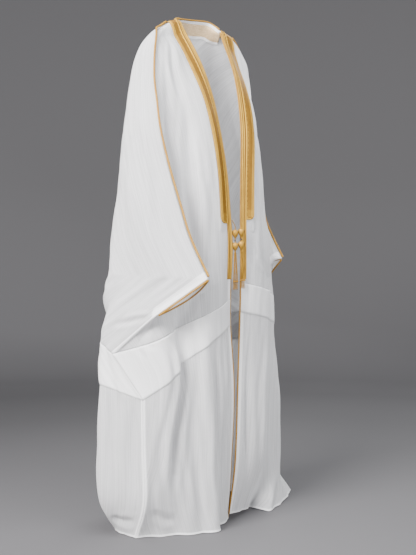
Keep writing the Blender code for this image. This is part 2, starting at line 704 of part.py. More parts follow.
def make_cords(panels, levels):
    last = len(BAND_LINES) + SIDE_COLUMNS - 1
    back = panels["back"]
    back_last = back[0].shape[1] - 1
    rows = range(len(levels))
    for side in ("right", "left"):
        front = panels["front_" + side]
        cord("front_edge_cord_" + side, trimmed(front_edge_line(front), 0.004, 0.0), EDGE_CORD,
             gold("front_edge_cord_" + side))
        shoulder = [(0, c) for c in range(len(BAND_LINES) - 1, last + 1)]
        shoulder += [(r, last) for r in rows if 0 < levels[r] <= CUFF_CORNER]
        centres = []
        for cell in shoulder:
            vector = front[1][cell]
            lift = SHOULDER_CORD + SHOULDER_CLEAR + np.linalg.norm(vector) * WALL / 2
            centres.append(front[0][cell] + unit(vector) * lift)
        cord("shoulder_cord_" + side, trimmed(np.array(centres), 0.006, 0.003), SHOULDER_CORD,
             gold("shoulder_cord_" + side))
        cuff = [r for r in rows if CUFF_CORNER <= levels[r] <= CUFF_FOOT]
        end, step = (0, 1) if side == "right" else (back_last, -1)
        for name, panel, column, inner in (("front", front, last, last - 1),
                                           ("back", back, end, end + step)):
            line = edge_line(panel, [(r, column) for r in cuff], [(r, inner) for r in cuff],
                             CUFF_CORD + CUFF_CLEAR)
            name = "cuff_cord_" + name + "_" + side
            cord(name, trimmed(line, *CUFF_TRIM[side]), CUFF_CORD, gold(name))
    neck = SIDE_COLUMNS + len(BAND_LINES) - 1
    columns = range(neck, neck + NECK_COLUMNS + 1)
    line = edge_line(back, [(0, c) for c in columns], [(1, c) for c in columns], EDGE_CORD + SEAM_GAP)
    cord("neck_edge_cord", trimmed(line, 0.012, 0.012), EDGE_CORD, gold("neck_edge_cord"))


# Toggles and tassels

def front_edge_line(panel):
    """Centres of the cord along a front's edge."""
    rows = range(panel[0].shape[0])
    return edge_line(panel, [(r, 0) for r in rows], [(r, 1) for r in rows], EDGE_CORD + SEAM_GAP)


def make_toggles(panels):
    for side in ("right", "left"):
        x, y = TOGGLE[side]
        drop = BEAD_DROP[side]
        upper = BEAD_UPPER + drop
        height, away_x, away_y = TOGGLE_TOP[side]
        line = front_edge_line(panels["front_" + side])
        start = np.array([np.interp(-height, -line[:, 2], line[:, axis]) for axis in range(3)])
        start += np.array([away_x, away_y, 0]) * (EDGE_CORD + TOGGLE_CORD + SEAM_GAP)
        end = np.array([x, y, upper + BEAD_OUTLINE[0][1] + SEAM_GAP])
        bend = np.array([x, y, end[2] + 0.35 * (start[2] - end[2])])
        line = spline([start, bend, end], np.linspace(0, 2, 9))
        cord("toggle_cord_" + side, line, TOGGLE_CORD, gold("toggle_cord_" + side), 2)
        turned("bead_upper_" + side, BEAD_OUTLINE, (x, y, upper), gold("bead_upper_" + side))
        turns = np.radians((75, 40, 0, -40, -75))
        ball = [(SPACER_RADIUS * math.cos(a), SPACER_RADIUS * math.sin(a)) for a in turns]
        turned("bead_spacer_" + side, ball, (x, y, BEAD_SPACER + drop),
               material("bead_spacer_" + side, DARK, 0.4, 0.0))
        turned("bead_lower_" + side, LOWER_OUTLINE, (x, y, BEAD_LOWER + drop),
               gold("bead_lower_" + side))
        make_tassel(side, x, y, BEAD_LOWER + drop + LOWER_OUTLINE[-1][1] - SEAM_GAP)


def make_tassel(side, x, y, top):
    """A head with four strands out of its underside, each ending in a knot and a loop."""
    half_width, half_depth, half_height = HEAD_HALF
    places = STRANDS[side]
    count = len(places)
    vertices = []
    for z in (top, top - 2 * half_height):
        for dy in (-half_depth, half_depth):
            for k in range(count + 1):
                vertices.append((x - half_width + 2 * half_width * k / count, y + dy, z))
    line = count + 1
    back, low_front, low_back = line, 2 * line, 3 * line
    faces = [(0, back, low_back, low_front),
             (count, low_front + count, low_back + count, back + count)]
    for k in range(count):
        faces.append((k, k + 1, back + k + 1, back + k))
        faces.append((k + 1, k, low_front + k, low_front + k + 1))
        faces.append((back + k, back + k + 1, low_back + k + 1, low_back + k))
        root = (low_front + k, low_front + k + 1, low_back + k + 1, low_back + k)
        start_x = x - half_width + 2 * half_width * (k + 0.5) / count
        for share, drop, wide, deep in STRAND_STEPS:
            centre = start_x + (places[k] - start_x) * share
            z = top - 2 * half_height - drop
            base = len(vertices)
            for dx, dy in ((-wide, -deep), (wide, -deep), (wide, deep), (-wide, deep)):
                vertices.append((centre + dx * STRAND_HALF, y + dy * STRAND_HALF, z))
            ring = (base, base + 1, base + 2, base + 3)
            for i in range(4):
                n = (i + 1) % 4
                faces.append((root[n], root[i], ring[i], ring[n]))
            root = ring
        faces.append(tuple(reversed(root)))
    add_object("tassel_" + side, vertices, faces, gold("tassel_" + side))


def main():
    clear_scene()
    panels, levels = make_panels()
    make_cloth(panels, levels)
    make_facing(panels)
    make_bands(panels)
    make_back_band(panels)
    make_cords(panels, levels)
    make_toggles(panels)


main()
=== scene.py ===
"""Bisht cloak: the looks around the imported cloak.

Metres, +Z up, the front faces -Y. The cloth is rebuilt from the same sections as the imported
solids, on a finer net, with softer creases; the gold work is sewn onto that net.
"""
import math

import bpy
import numpy as np
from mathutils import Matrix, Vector


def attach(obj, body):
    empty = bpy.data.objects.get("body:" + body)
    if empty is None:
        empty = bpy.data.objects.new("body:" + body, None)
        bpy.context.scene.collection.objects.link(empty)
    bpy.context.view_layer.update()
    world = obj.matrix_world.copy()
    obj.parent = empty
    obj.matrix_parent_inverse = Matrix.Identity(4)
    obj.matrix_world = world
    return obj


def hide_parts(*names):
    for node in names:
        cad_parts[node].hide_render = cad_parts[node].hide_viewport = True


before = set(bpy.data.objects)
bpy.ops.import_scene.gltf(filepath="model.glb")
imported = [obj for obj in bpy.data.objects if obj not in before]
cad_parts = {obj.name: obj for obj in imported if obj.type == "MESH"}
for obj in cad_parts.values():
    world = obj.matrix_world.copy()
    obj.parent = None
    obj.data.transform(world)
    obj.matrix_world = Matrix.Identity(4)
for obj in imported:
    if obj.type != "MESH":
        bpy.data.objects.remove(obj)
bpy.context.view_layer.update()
BODY = "root"

# Camera and stage
CAMERA_AZIMUTH = math.radians(46)
CAMERA_DISTANCE = 2.70
CAMERA_HEIGHT = -0.785
FRAME_HEIGHT = 555
PIXELS_PER_TURN = 868
SENSOR = 36.0
SHIFT_PIXELS = 2
FLOOR = -1.525
STAGE_RADIUS = 5.2
STAGE_BEND = 1.6
STAGE_WALL = 5.0
STAGE_SIDES = 96
STAGE_BEND_STEPS = 16

# Cloth
CLOTH_HALF = 0.0005
HEM_HALF = 0.0014
HEM_ROLL = 0.004
SEAM_GAP = 0.0003
LAY_GAP = 0.0003
TUCK_HALF = 0.0004
MITRE_LIMIT = 2.6
RIDGE_POWER = 0.55
BAND_WIDTH = 0.052
BAND_STEP = 0.002
SIDE_STEPS = 62
NECK_STEPS = 60
FINE_STEPS = (8, 9, 11, 14, 16, 18, 18, 16, 16, 20, 18, 18, 26, 26, 22)
HEM_LEVELS = (14.975, 14.99)
TUCK_TOP = 11
TUCK_FOOT = 12
CUFF_CORNER = 9
CUFF_FOOT = 10
SHARP_LEVELS = (9, 10, 11, 12)

# Widths over which the cloth lies double
SEAM_LAP = 0.007
HEM_LAP = 0.006
CUFF_LAP = 0.023
EDGE_LAP = 0.012
LAP_RISE = 0.0004
LAP_EDGE = 0.0015
# The cloth under the tuck gets a lap too: its shaded inside face is painted whiter
UNDER_TUCK = 0.002

# Facing inside the back of the neck: distances from the neckline, and its ends' spread
TAPE_WIDTH = 0.009
FACING_END = 0.046
FACING_HEM_END = 0.054
FACING_SPREAD = 0.014
FACING_RIPPLE = 0.0005

# Gold work
EDGE_BAND = 0.020
NECK_BAND_END = {"right": -0.625, "left": -0.609}
NECK_BAND_CORNER = 0.020
EDGE_BAND_END = -0.790
SHOULDER_CORD = 0.0034
SHOULDER_CLEAR = 0.0008
CUFF_CORD = 0.0030
EDGE_CORD = 0.0020
EDGE_BRAID = 0.0027
CUFF_CLEAR = 0.0008
CUFF_TRIM = {"right": (.002, .012), "left": (.004, .030)}

# Twists of the cords: half width, strands, length of a turn, depth, sides, step along it
EDGE_TWIST = (EDGE_BRAID, 2, 0.008, 0.16, 10, 0.002)
NECK_TWIST = (EDGE_BRAID, 2, 0.008, 0.16, 12, 0.0015)
SHOULDER_TWIST = (SHOULDER_CORD, 3, 0.014, 0.14, 14, 0.0017)
CUFF_TWIST = (CUFF_CORD, 2, 0.010, 0.22, 14, 0.0012)
END_SHARE = 0.45

FRONT_SHARES = (0.0, 0.25, 0.5, 0.75, 1.0)
HEM_SHARES = (0.0, 0.9, 1.0, 1.0, 1.0)
BACK_SHARES = (0.0, 0.22, 0.45, 0.66, 0.98, 1.0)

# Sections of each side, a row for each level, from the shoulder to the hem.
# Front rows: edge (out, y, z), chest, valley, lobe, seam (out, y, z)
RIGHT_FRONT = (
    ((.090, .024, -.004), (.115, .026, -.006), (.148, .024, -.021), (.178, .014, -.040),
     (.205, .000, -.055)),
    ((.087, .002, -.045), (.130, .003), (.168, .000), (.200, -.008), (.225, -.015, -.090)),
    ((.079, -.029, -.100), (.118, -.028), (.160, -.033), (.200, -.030), (.236, -.021, -.140)),
    ((.071, -.059, -.165), (.116, -.062), (.165, -.050), (.208, -.040), (.245, -.030, -.210)),
    ((.060, -.086, -.250), (.112, -.094), (.178, -.055), (.216, -.043), (.250, -.045, -.280)),
    ((.049, -.105, -.350), (.100, -.115), (.195, -.045), (.232, -.050), (.255, -.063, -.360)),
    ((.034, -.117, -.470), (.098, -.124), (.200, -.048), (.228, -.068), (.249, -.090, -.465)),
    ((.026, -.123, -.590), (.098, -.128), (.192, -.058), (.220, -.090), (.238, -.127, -.585)),
    ((.022, -.127, -.680), (.100, -.128), (.187, -.064), (.210, -.115), (.230, -.160, -.680)),
    ((.022, -.126, -.745), (.105, -.128), (.182, -.074), (.208, -.138), (.215, -.215, -.789)),
    ((.021, -.121, -.800), (.110, -.130), (.190, -.072), (.250, -.080), (.305, -.095, -.895)),
    ((.020, -.119, -.850), (.115, -.130), (.185, -.082), (.285, -.080), (.353, .030, -1.003)),
    ((.019, -.118, -.930), (.118, -.132), (.188, -.098), (.258, -.108), (.318, -.062, -1.130)),
    ((.008, -.123, -1.130), (.112, -.138), (.185, -.112), (.260, -.098), (.318, -.065, -1.280)),
    ((.002, -.106, -1.350), (.105, -.142), (.180, -.115), (.250, -.090), (.316, -.067, -1.420)),
    ((-.018, -.076, -1.522), (.098, -.143), (.170, -.112), (.237, -.066), (.310, -.022, -1.523)),
)

# The wearer's left sleeve hangs higher and less far forward than the right one
LEFT_FRONT = (
    ((.090, .024, .004), (.116, .026, .000), (.143, .027, -.008), (.168, .025, -.032),
     (.188, .020, -.072)),
    ((.087, .002, -.045), (.124, .003), (.153, .002), (.189, .001), (.198, .024, -.104)),
    ((.079, -.029, -.100), (.117, -.024), (.156, -.015), (.199, -.003), (.214, .030, -.152)),
    ((.071, -.059, -.165), (.114, -.056), (.154, -.036), (.203, -.010), (.226, .034, -.208)),
    ((.060, -.086, -.250), (.108, -.088), (.157, -.055), (.200, -.016), (.232, .034, -.265)),
    ((.049, -.105, -.350), (.098, -.110), (.165, -.066), (.210, -.030), (.242, .020, -.350)),
    ((.034, -.117, -.470), (.096, -.120), (.172, -.075), (.217, -.044), (.248, -.001, -.460)),
    ((.026, -.123, -.590), (.097, -.126), (.180, -.080), (.222, -.052), (.251, -.019, -.575)),
    ((.022, -.127, -.660), (.100, -.129), (.187, -.088), (.222, -.066), (.250, -.052, -.645)),
    ((.022, -.127, -.710), (.105, -.130), (.192, -.096), (.216, -.074), (.246, -.103, -.722)),
    ((.022, -.127, -.755), (.110, -.131), (.200, -.093), (.236, -.060), (.300, .035, -.815)),
    ((.022, -.126, -.800), (.115, -.132), (.198, -.103), (.242, -.061), (.335, .050, -.870)),
    ((.021, -.125, -.890), (.115, -.133), (.195, -.108), (.249, -.063), (.325, .020, -.960)),
    ((.016, -.121, -1.100), (.110, -.135), (.190, -.105), (.266, -.074), (.328, .000, -1.200)),
    ((.013, -.113, -1.340), (.110, -.118), (.165, -.095), (.264, -.076), (.330, .000, -1.400)),
    ((.010, -.089, -1.505), (.135, -.055), (.165, -.040), (.187, -.116), (.425, .004, -1.522)),
)

# Side rows, behind the seam: face, side
RIGHT_SIDE = (
    ((.178, .014, -.040), (.148, .024, -.021)),
    ((.216, .012), (.200, .033)),
    ((.240, .018), (.228, .054)),
    ((.254, .020), (.245, .064)),
    ((.270, .010), (.261, .067)),
    ((.286, .002), (.276, .070)),
    ((.294, -.014), (.288, .073)),
    ((.298, -.035), (.300, .073)),
    ((.298, -.055), (.308, .074)),
    ((.295, -.085), (.318, .077)),
    ((.330, -.005), (.334, .084)),
    ((.350, .058), (.343, .088)),
    ((.348, .005), (.352, .089)),
    ((.350, .008), (.358, .092)),
    ((.349, .010), (.356, .093)),
    ((.308, .025), (.300, .076)),
)

LEFT_SIDE = (
    ((.168, .025, -.032), (.143, .027, -.008)),
    ((.200, .046), (.186, .063)),
    ((.228, .050), (.220, .067)),
    ((.243, .050), (.240, .067)),
    ((.254, .046), (.258, .070)),
    ((.270, .038), (.275, .073)),
    ((.284, .030), (.290, .076)),
    ((.292, .018), (.303, .078)),
    ((.293, .004), (.312, .079)),
    ((.290, -.022), (.320, .081)),
    ((.320, .056), (.332, .086)),
    ((.342, .070), (.342, .088)),
    ((.343, .055), (.348, .090)),
    ((.346, .045), (.354, .093)),
    ((.348, .045), (.356, .096)),
    ((.392, .050), (.345, .100)),
)

SIDES = {"right": (RIGHT_FRONT, RIGHT_SIDE, -1), "left": (LEFT_FRONT, LEFT_SIDE, 1)}

# Back between the sides: blade (out, y), spine (out, y), middle (y, z)
BACK = (
    ((.092, .026, .000), (.064, .058, .024), (.065, .028)),
    ((.150, .060), (.080, .078), (.080, -.022)),
    ((.170, .085), (.095, .092), (.093, -.075)),
    ((.178, .106), (.100, .108), (.108, -.135)),
    ((.182, .122), (.100, .125), (.122, -.225)),
    ((.186, .138), (.100, .142), (.136, -.345)),
    ((.192, .150), (.100, .156), (.149, -.470)),
    ((.196, .159), (.100, .166), (.158, -.590)),
    ((.199, .165), (.102, .173), (.165, -.680)),
    ((.202, .169), (.103, .178), (.170, -.760)),
    ((.204, .173), (.104, .182), (.175, -.840)),
    ((.206, .177), (.105, .187), (.180, -.930)),
    ((.208, .183), (.106, .193), (.187, -1.030)),
    ((.210, .193), (.107, .203), (.197, -1.210)),
    ((.210, .200), (.108, .210), (.204, -1.390)),
    ((.190, .180), (.100, .198), (.196, -1.521)),
)

# Back neckline from the right neck point to the left one
NECKLINE = ((-.090, .024, -.004), (-.088, .045, .006), (-.064, .059, .018), (0, .065, .026),
            (.066, .059, .033), (.088, .045, .021), (.090, .024, .004))

# How far the front edge of each cuff stands off the straight line from its top to its foot
CUFF_BOW = {"right": (-.051, .020, .000), "left": (-.033, -.010, .020)}

# Main folds of each panel: share across its rows, first level, half width, depth (outwards positive)
FOLDS = {
    "front_right": (
        (.36, 2.0, .022, .006),
        (.47, 3.5, .020, -.006),
        (.22, 10.5, .024, -.016),
        (.60, 11.0, .024, .007),
        (.78, 10.5, .026, .006),
    ),
    "front_left": (
        (.34, 2.0, .022, .005),
        (.45, 4.0, .022, -.006),
        (.30, 11.0, .026, -.008),
        (.55, 11.5, .024, -.012),
        (.82, 11.0, .028, .008),
    ),
    "back": (
        (.125, 2.5, .030, .004),
        (.19, 3.5, .034, -.009),
        (.25, 4.0, .036, .010),
        (.31, 2.5, .034, -.010),
        (.37, 1.5, .036, .011),
        (.43, 1.5, .036, -.011),
        (.50, 2.0, .038, .012),
        (.565, 1.5, .036, -.011),
        (.63, 1.5, .036, .011),
        (.69, 2.5, .034, -.010),
        (.75, 4.0, .036, .010),
        (.81, 3.5, .034, -.009),
        (.875, 2.5, .030, .005),
    ),
}
FOLD_GROWTH = 6.0
FOLD_MARGIN = 0.045

# Creases of each panel: half width, depth (outwards positive), places (level, share of the row)
CREASES = {
    "front_right": (
        (.007, -.0050, (1.2, .60), (2.1, .635), (3.0, .637), (3.7, .590), (4.3, .560)),
        (.012, -.0125, (3.6, .565), (4.7, .505), (5.5, .512), (6.5, .540), (7.5, .500),
         (8.6, .47)),
        (.009, .0040, (2.4, .52), (4.2, .455), (6.0, .400), (7.5, .345), (9.0, .31)),
        (.006, .0025, (2.0, .73), (4.0, .680), (5.6, .720), (7.0, .74)),
        (.006, -.0025, (1.5, .80), (3.4, .790), (5.0, .811), (6.4, .83)),
        (.007, .0022, (3.0, .40), (5.0, .33), (7.0, .28)),
        (.012, -.0160, (9.9, .620), (11.0, .500), (12.25, .575), (12.95, .690),
         (13.5, .715), (14.2, .74)),
        (.010, .0085, (10.6, .64), (11.6, .60), (12.6, .70), (13.2, .78), (14.0, .80)),
        (.006, -.0030, (10.2, .93), (10.7, .82), (11.3, .70)),
        (.005, -.0022, (10.3, .88), (10.9, .84), (11.5, .80)),
        (.010, -.0075, (12.0, .22), (12.9, .235), (13.7, .29), (14.5, .36)),
        (.008, .0030, (11.4, .17), (12.6, .19), (13.8, .24), (14.7, .29)),
        (.009, .0055, (12.5, .50), (13.4, .46), (14.2, .44), (14.9, .45)),
        (.007, -.0028, (13.2, .67), (13.8, .63), (14.6, .58)),
        (.009, -.0050, (14.2, .93), (14.5, .83), (14.7, .70)),
    ),
    "front_left": (
        (.008, -.0040, (3.5, .62), (5.0, .58), (6.5, .55), (8.0, .50)),
        (.007, .0030, (2.5, .48), (4.5, .45), (6.5, .42), (8.5, .38)),
        (.011, -.0085, (12.2, .10), (13.2, .09), (14.0, .14), (14.7, .22)),
        (.009, .0040, (12.0, .33), (13.2, .29), (14.2, .36), (14.8, .42)),
        (.008, -.0040, (12.6, .60), (13.6, .62), (14.5, .66)),
        (.006, -.0025, (8.4, .35), (9.0, .45), (9.6, .60)),
        (.009, .0040, (12.4, .84), (13.4, .82), (14.6, .80)),
    ),
    "back": (
        (.006, .0022, (1.4, .030), (3.0, .060), (4.6, .110), (6.2, .150)),
        (.008, -.0030, (2.6, .040), (4.0, .090), (5.4, .130), (7.0, .175), (8.6, .190)),
        (.008, .0028, (4.0, .045), (5.4, .060), (6.8, .085), (8.2, .110)),
        (.010, -.0030, (5.5, .030), (7.0, .060), (8.5, .075), (9.4, .10)),
        (.006, -.0045, (10.02, .010), (10.12, .040), (10.30, .075), (10.42, .10)),
        (.005, .0020, (9.9, .020), (10.02, .05), (10.2, .09)),
        (.009, -.0050, (12.0, .036), (12.8, .032), (13.5, .030), (14.1, .022)),
        (.008, .0035, (11.3, .060), (12.4, .065), (13.5, .062), (14.3, .050)),
        (.010, -.0040, (11.8, .105), (13.0, .100), (14.0, .085), (14.6, .07)),
        (.009, -.0060, (14.45, .020), (14.6, .06), (14.55, .11)),
        (.009, -.0045, (1.8, .28), (3.8, .26), (6.0, .25), (8.5, .24)),
        (.008, .0040, (1.2, .36), (3.5, .35), (6.5, .33), (9.5, .33)),
        (.008, -.0038, (.9, .43), (2.8, .44), (5.5, .43), (8.0, .42)),
        (.009, .0042, (.8, .49), (3.2, .50), (6.5, .49), (10.0, .50)),
        (.008, -.0040, (1.0, .56), (3.0, .56), (6.0, .57), (9.0, .56)),
        (.009, .0040, (1.3, .63), (4.5, .65), (8.0, .66)),
        (.008, -.0042, (1.7, .71), (4.2, .73), (7.4, .74), (10.2, .74)),
        (.008, .0030, (2.6, .84), (4.8, .88), (7.2, .90)),
        (.008, -.0034, (3.4, .93), (5.6, .93), (8.2, .92)),
        (.010, -.0060, (11.2, .24), (12.6, .25), (14.6, .24)),
        (.010, .0050, (11.4, .33), (13.0, .32), (14.9, .33)),
        (.010, -.0055, (11.1, .41), (12.9, .42), (14.7, .41)),
        (.011, .0055, (11.6, .50), (13.2, .49), (14.9, .50)),
        (.010, -.0055, (11.3, .58), (12.8, .585), (14.8, .575)),
        (.010, .0050, (11.5, .67), (13.1, .66), (14.9, .67)),
        (.010, -.0060, (11.2, .75), (12.9, .76), (14.6, .75)),
        (.009, .0040, (11.8, .88), (13.1, .90), (14.7, .89)),
        (.009, -.0045, (12.2, .955), (13.5, .96), (14.5, .955)),
    ),
}

# Toggles and tassels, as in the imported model
TOGGLE = {"right": (-.0085, -.1300), "left": (.0110, -.1370)}
TOGGLE_TOP = {"right": (-.612, .80, -.60), "left": (-.622, -.55, -.83)}
BEAD_UPPER = -.6547
BEAD_SPACER = -.6745
BEAD_LOWER = -.6930
BEAD_DROP = {"right": 0.0, "left": .004}
TOGGLE_CORD = 0.0015
SPACER_RADIUS = 0.0029
BEAD_MAP = 0.008
BEAD_OUTLINE = ((.0014, .0110), (.0036, .0124), (.0062, .0120), (.0082, .0103), (.0092, .0076),
                (.0094, .0048), (.0092, .0022), (.0087, -.0004), (.0079, -.0030), (.0068, -.0054),
                (.0055, -.0076), (.0041, -.0096), (.0028, -.0114), (.0017, -.0134), (.0010, -.0167))
LOWER_TOP = ((.0010, .0154), (.0012, .0126))
STRANDS = {"right": (-.0150, -.0095, -.0040, .0015), "left": (.0085, .0145, .0205, .0265)}
HEAD_HALF = (.0046, .0022, .0030)
STRAND_SWAY = 0.0012
LOOP_WIDTH = 0.0014
KNOT_DROP = .085
LOOP_DROP = .110
SPLAY = ((.25, .012), (.55, .034), (.85, .060), (1.0, .080), (1.0, KNOT_DROP))
# Their cords' twists, with the same values in the same order
TOGGLE_TWIST = (TOGGLE_CORD, 2, 0.006, 0.25, 10, 0.0008)
HEAD_TWIST = (0.0008, 1, 0.004, 0.05, 8, 0.0006)
CORE_TWIST = (HEAD_HALF[1], 8, 0.1, 0.06, 16, 0.0006)
STRAND_TWIST = (0.0017, 2, 0.0045, 0.25, 8, 0.0009)
KNOT_TWIST = (0.0016, 1, 0.003, 0.05, 8, 0.0006)
LOOP_TWIST = (0.0010, 2, 0.004, 0.2, 7, 0.0009)

# Relief across the gold bands, from the inner edge: ribs are place, half width and height
INNER_RIBS = ((.0018, .0018, .0012), (.0095, .0015, .0010), (.0178, .0021, .0014),
              (.0420, .0013, .0009))
OUTER_RIBS = ((.0019, .0018, .0012), (.0058, .0013, .0009))
STITCH_LINE = 0.0228
STITCH_PITCH = 0.0052
STITCH_HALF = 0.0011
STITCH_HEIGHT = 0.0009
BAND_BASE = 0.0012
BAND_LIFT = 0.0006
BACK_BAND_LIFT = 0.0012
BAND_FINE = 0.0008
BAND_ROW = 0.0022
BAND_FIELD_END = 0.0115
HATCH_PITCH = 0.0034
HATCH_HEIGHT = 0.00028
# Where each field of the bands starts, and how bright its thread is, from -1 to 1
FIELDS = ((0.0, -.35), (.0036, .10), (.0080, -.60), (.0108, -1.25), (.0155, -.60), (.0202, -1.2),
          (.0252, -.55), (.0398, -1.1))
RIM_FIELD = 0.0078


# Curves and nets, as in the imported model

def smooth(value):
    value = np.clip(value, 0.0, 1.0)
    return value * value * (3 - 2 * value)


def unit(vectors):
    return vectors / np.linalg.norm(vectors, axis=-1, keepdims=True)


def spline(table, places, corners=()):
    """Points between the rows of a table; a corner row has straight runs on both sides."""
    table = np.asarray(table, float)
    places = np.atleast_1d(np.asarray(places, float))
    chords = np.diff(table, axis=0)
    before = np.concatenate([chords[:1], chords])
    after = np.concatenate([chords, chords[-1:]])
    leaving = (before + after) / 2
    arriving = leaving.copy()
    for corner in corners:
        leaving[corner] = after[corner]
        arriving[corner] = before[corner]
    cell = np.clip(np.floor(places).astype(int), 0, len(table) - 2)
    f = (places - cell).reshape((-1,) + (1,) * (table.ndim - 1))
    return ((2 * f ** 3 - 3 * f ** 2 + 1) * table[cell] + (f ** 3 - 2 * f ** 2 + f) * leaving[cell]
            + (3 * f ** 2 - 2 * f ** 3) * table[cell + 1] + (f ** 3 - f ** 2) * arriving[cell + 1])


def lengths_along(points):
    return np.concatenate([[0.0], np.cumsum(np.linalg.norm(np.diff(points, axis=0), axis=1))])


def run_of(points, steps=12):
    """A dense curve through the points, and the length up to each of its own points."""
    dense = spline(points, np.linspace(0, len(points) - 1, steps * (len(points) - 1) + 1))
    return dense, lengths_along(dense)


def on_run(run, distances):
    dense, lengths = run
    return np.stack([np.interp(distances, lengths, dense[:, axis]) for axis in range(3)], axis=1)


def guide(places, heights, sign):
    """A guide down one side; a place with a third value has its own height."""
    return np.array([(sign * place[0], place[1], place[2] if len(place) == 3 else height)
                     for place, height in zip(places, heights)])


def side_guides(side, levels):
    """Front and back guide points of one side at the given levels, in world coordinates."""
    front_rows, side_rows, sign = SIDES[side]
    edge_z = np.array([row[0][2] for row in front_rows])
    seam_z = np.array([row[4][2] for row in front_rows])
    rise = np.array([row[2][1] for row in BACK]) - seam_z
    shares = np.array([FRONT_SHARES] * (len(front_rows) - 1) + [HEM_SHARES])
    front = [guide([row[k] for row in front_rows], edge_z + (seam_z - edge_z) * shares[:, k], sign)
             for k in range(5)]
    back = [front[4]]
    for table, first in ((side_rows, 1), (BACK, 3)):
        back += [guide([row[k] for row in table], seam_z + rise * BACK_SHARES[k + first], sign)
                 for k in (0, 1)]
    sharp = [spline(line, levels, SHARP_LEVELS) for line in (front[4], back[1])]
    fronts = [spline(line, levels) for line in front[:4]] + [sharp[0]]
    backs = sharp + [spline(line, levels) for line in back[2:]]
    for line in fronts[1:4] + backs[1:]:
        round_ridge(line, levels)
    return np.stack(fronts, axis=1), np.stack(backs, axis=1)


def round_ridge(line, levels):
    """Let front and back part quickly below the shoulder line, so that it is a round ridge."""
    foot = np.interp(1.0, levels, line[:, 1])
    near = (levels > 0) & (levels < 1)
    line[near, 1] = line[0, 1] + (foot - line[0, 1]) * levels[near] ** RIDGE_POWER


def bow_cuff(guides, side, levels):
    """Move the front edge of the cuff in from the straight line that the back edge keeps."""
    out, along, up = CUFF_BOW[side]
    sign = SIDES[side][2]
    inside = (levels > CUFF_CORNER) & (levels < CUFF_FOOT)
    amount = np.where(inside, np.sin(math.pi * (levels - CUFF_CORNER)), 0.0)
    guides[:, 4] += amount[:, None] * np.array([sign * out, along, up])


def front_net(guides):
    """Rows of points from the front edge to the seam; the band's lines keep their distances."""
    band = np.arange(0, BAND_WIDTH + BAND_STEP / 2, BAND_STEP)
    rows = []
    shares = []
    for points in guides:
        run = run_of(points)
        length = run[1][-1]
        rest = np.linspace(BAND_WIDTH, length, SIDE_STEPS + 1)[1:]
        distances = np.concatenate([band, rest])
        rows.append(on_run(run, distances))
        shares.append(distances / length)
    return np.array(rows), np.array(shares)


def neckline_points():
    run = run_of(np.array(NECKLINE))
    return on_run(run, np.linspace(0, run[1][-1], NECK_STEPS + 1))


def back_net(right, left, front_right, front_left, levels):
    """Rows from the right seam round the back to the left one; the first row is the fronts' own."""
    middle = np.array([row[2] for row in BACK])
    middle = spline(np.column_stack([np.zeros(len(BACK)), middle]), levels)
    guides = np.concatenate([right, middle[:, None], left[:, ::-1]], axis=1)
    first = np.concatenate([front_right[0][::-1], neckline_points()[1:-1], front_left[0]])
    steps = lengths_along(first)
    first_share = steps / steps[-1]
    even = np.linspace(0, 1, len(first))
    rows = []
    shares = []
    for level, points in zip(levels, guides):
        run = run_of(points)
        share = first_share + (even - first_share) * smooth(level / 4)
        rows.append(on_run(run, share * run[1][-1]))
        shares.append(share)
    rows[0] = first
    return np.array(rows), np.array(shares)


def net_normals(net, flip):
    across = np.gradient(net, axis=1)
    down = np.gradient(net, axis=0)
    normals = unit(np.cross(across, down))
    for row, inner_row in ((0, 1), (-1, -2)):
        for column, inner_column in ((0, 1), (-1, -2)):
            normals[row, column] = normals[inner_row, inner_column]
    return -normals if flip else normals


def net_lengths(net, axis):
    """Lengths along the rows (axis 1) or the columns (axis 0) of a net, from their first points."""
    steps = np.linalg.norm(np.diff(net, axis=axis), axis=2)
    start = np.zeros_like(steps.take([0], axis=axis))
    return np.concatenate([start, np.cumsum(steps, axis=axis)], axis=axis)


def nearest(points, line):
    """Each point's distance to a line of points, and its place along that line, from 0 to 1."""
    along = lengths_along(line)
    distance = np.full(points.shape[:2], FAR)
    place = np.zeros(points.shape[:2])
    for k, (a, b) in enumerate(zip(line[:-1], line[1:])):
        span = b - a
        t = np.clip(((points - a) @ span) / max(span @ span, 1e-12), 0, 1)
        gap = np.linalg.norm(points - (a + t[:, :, None] * span), axis=2)
        closer = gap < distance
        distance = np.where(closer, gap, distance)
        place = np.where(closer, along[k] + t * (along[k + 1] - along[k]), place)
    return distance, place / along[-1]


def fold_net(panel, net, shares, levels, flip):
    """Raise the panel's main folds along its normals; they fade out towards its seams."""
    length = net_lengths(net, 1)[:, -1:]
    fade = smooth(np.minimum(shares, 1 - shares) / FOLD_MARGIN)
    height = np.zeros(shares.shape)
    for share, first, half_width, depth in FOLDS[panel]:
        ramp = smooth((levels - first) / FOLD_GROWTH)[:, None]
        height += depth * ramp * np.exp(-((shares - share) * length / half_width) ** 2)
    return net + net_normals(net, flip) * (height * fade)[:, :, None]


def join_seam(first, second, cells):
    """Mitre two walls along a shared line, and part them by the seam gap."""
    tangents = np.gradient(np.array([first.net[cell[0]] for cell in cells]), axis=0)
    shifts = []
    for (a, inner_a, b, inner_b), tangent in zip(cells, tangents):
        shared = unit(first.out[a] + second.out[b])
        half = max(float(np.dot(unit(first.out[a]), shared)), 1 / MITRE_LIMIT)
        across = unit(np.cross(tangent, shared))
        towards = (first.net[inner_a] - first.net[a]) - (second.net[inner_b] - second.net[b])
        if np.dot(towards, across) < 0:
            across = -across
        shifts.append((a, b, across * SEAM_GAP / 2, shared / half))
    for a, b, shift, vector in shifts:
        first.net[a] += shift
        second.net[b] -= shift
        first.out[a] = vector
        second.out[b] = vector


def fine_levels():
    """Levels of the fine rows: even steps within each level of the tables, closer at the hem."""
    parts = [np.linspace(k, k + 1, steps, endpoint=False) for k, steps in enumerate(FINE_STEPS)]
    return np.concatenate(parts + [HEM_LEVELS, [len(FINE_STEPS)]])


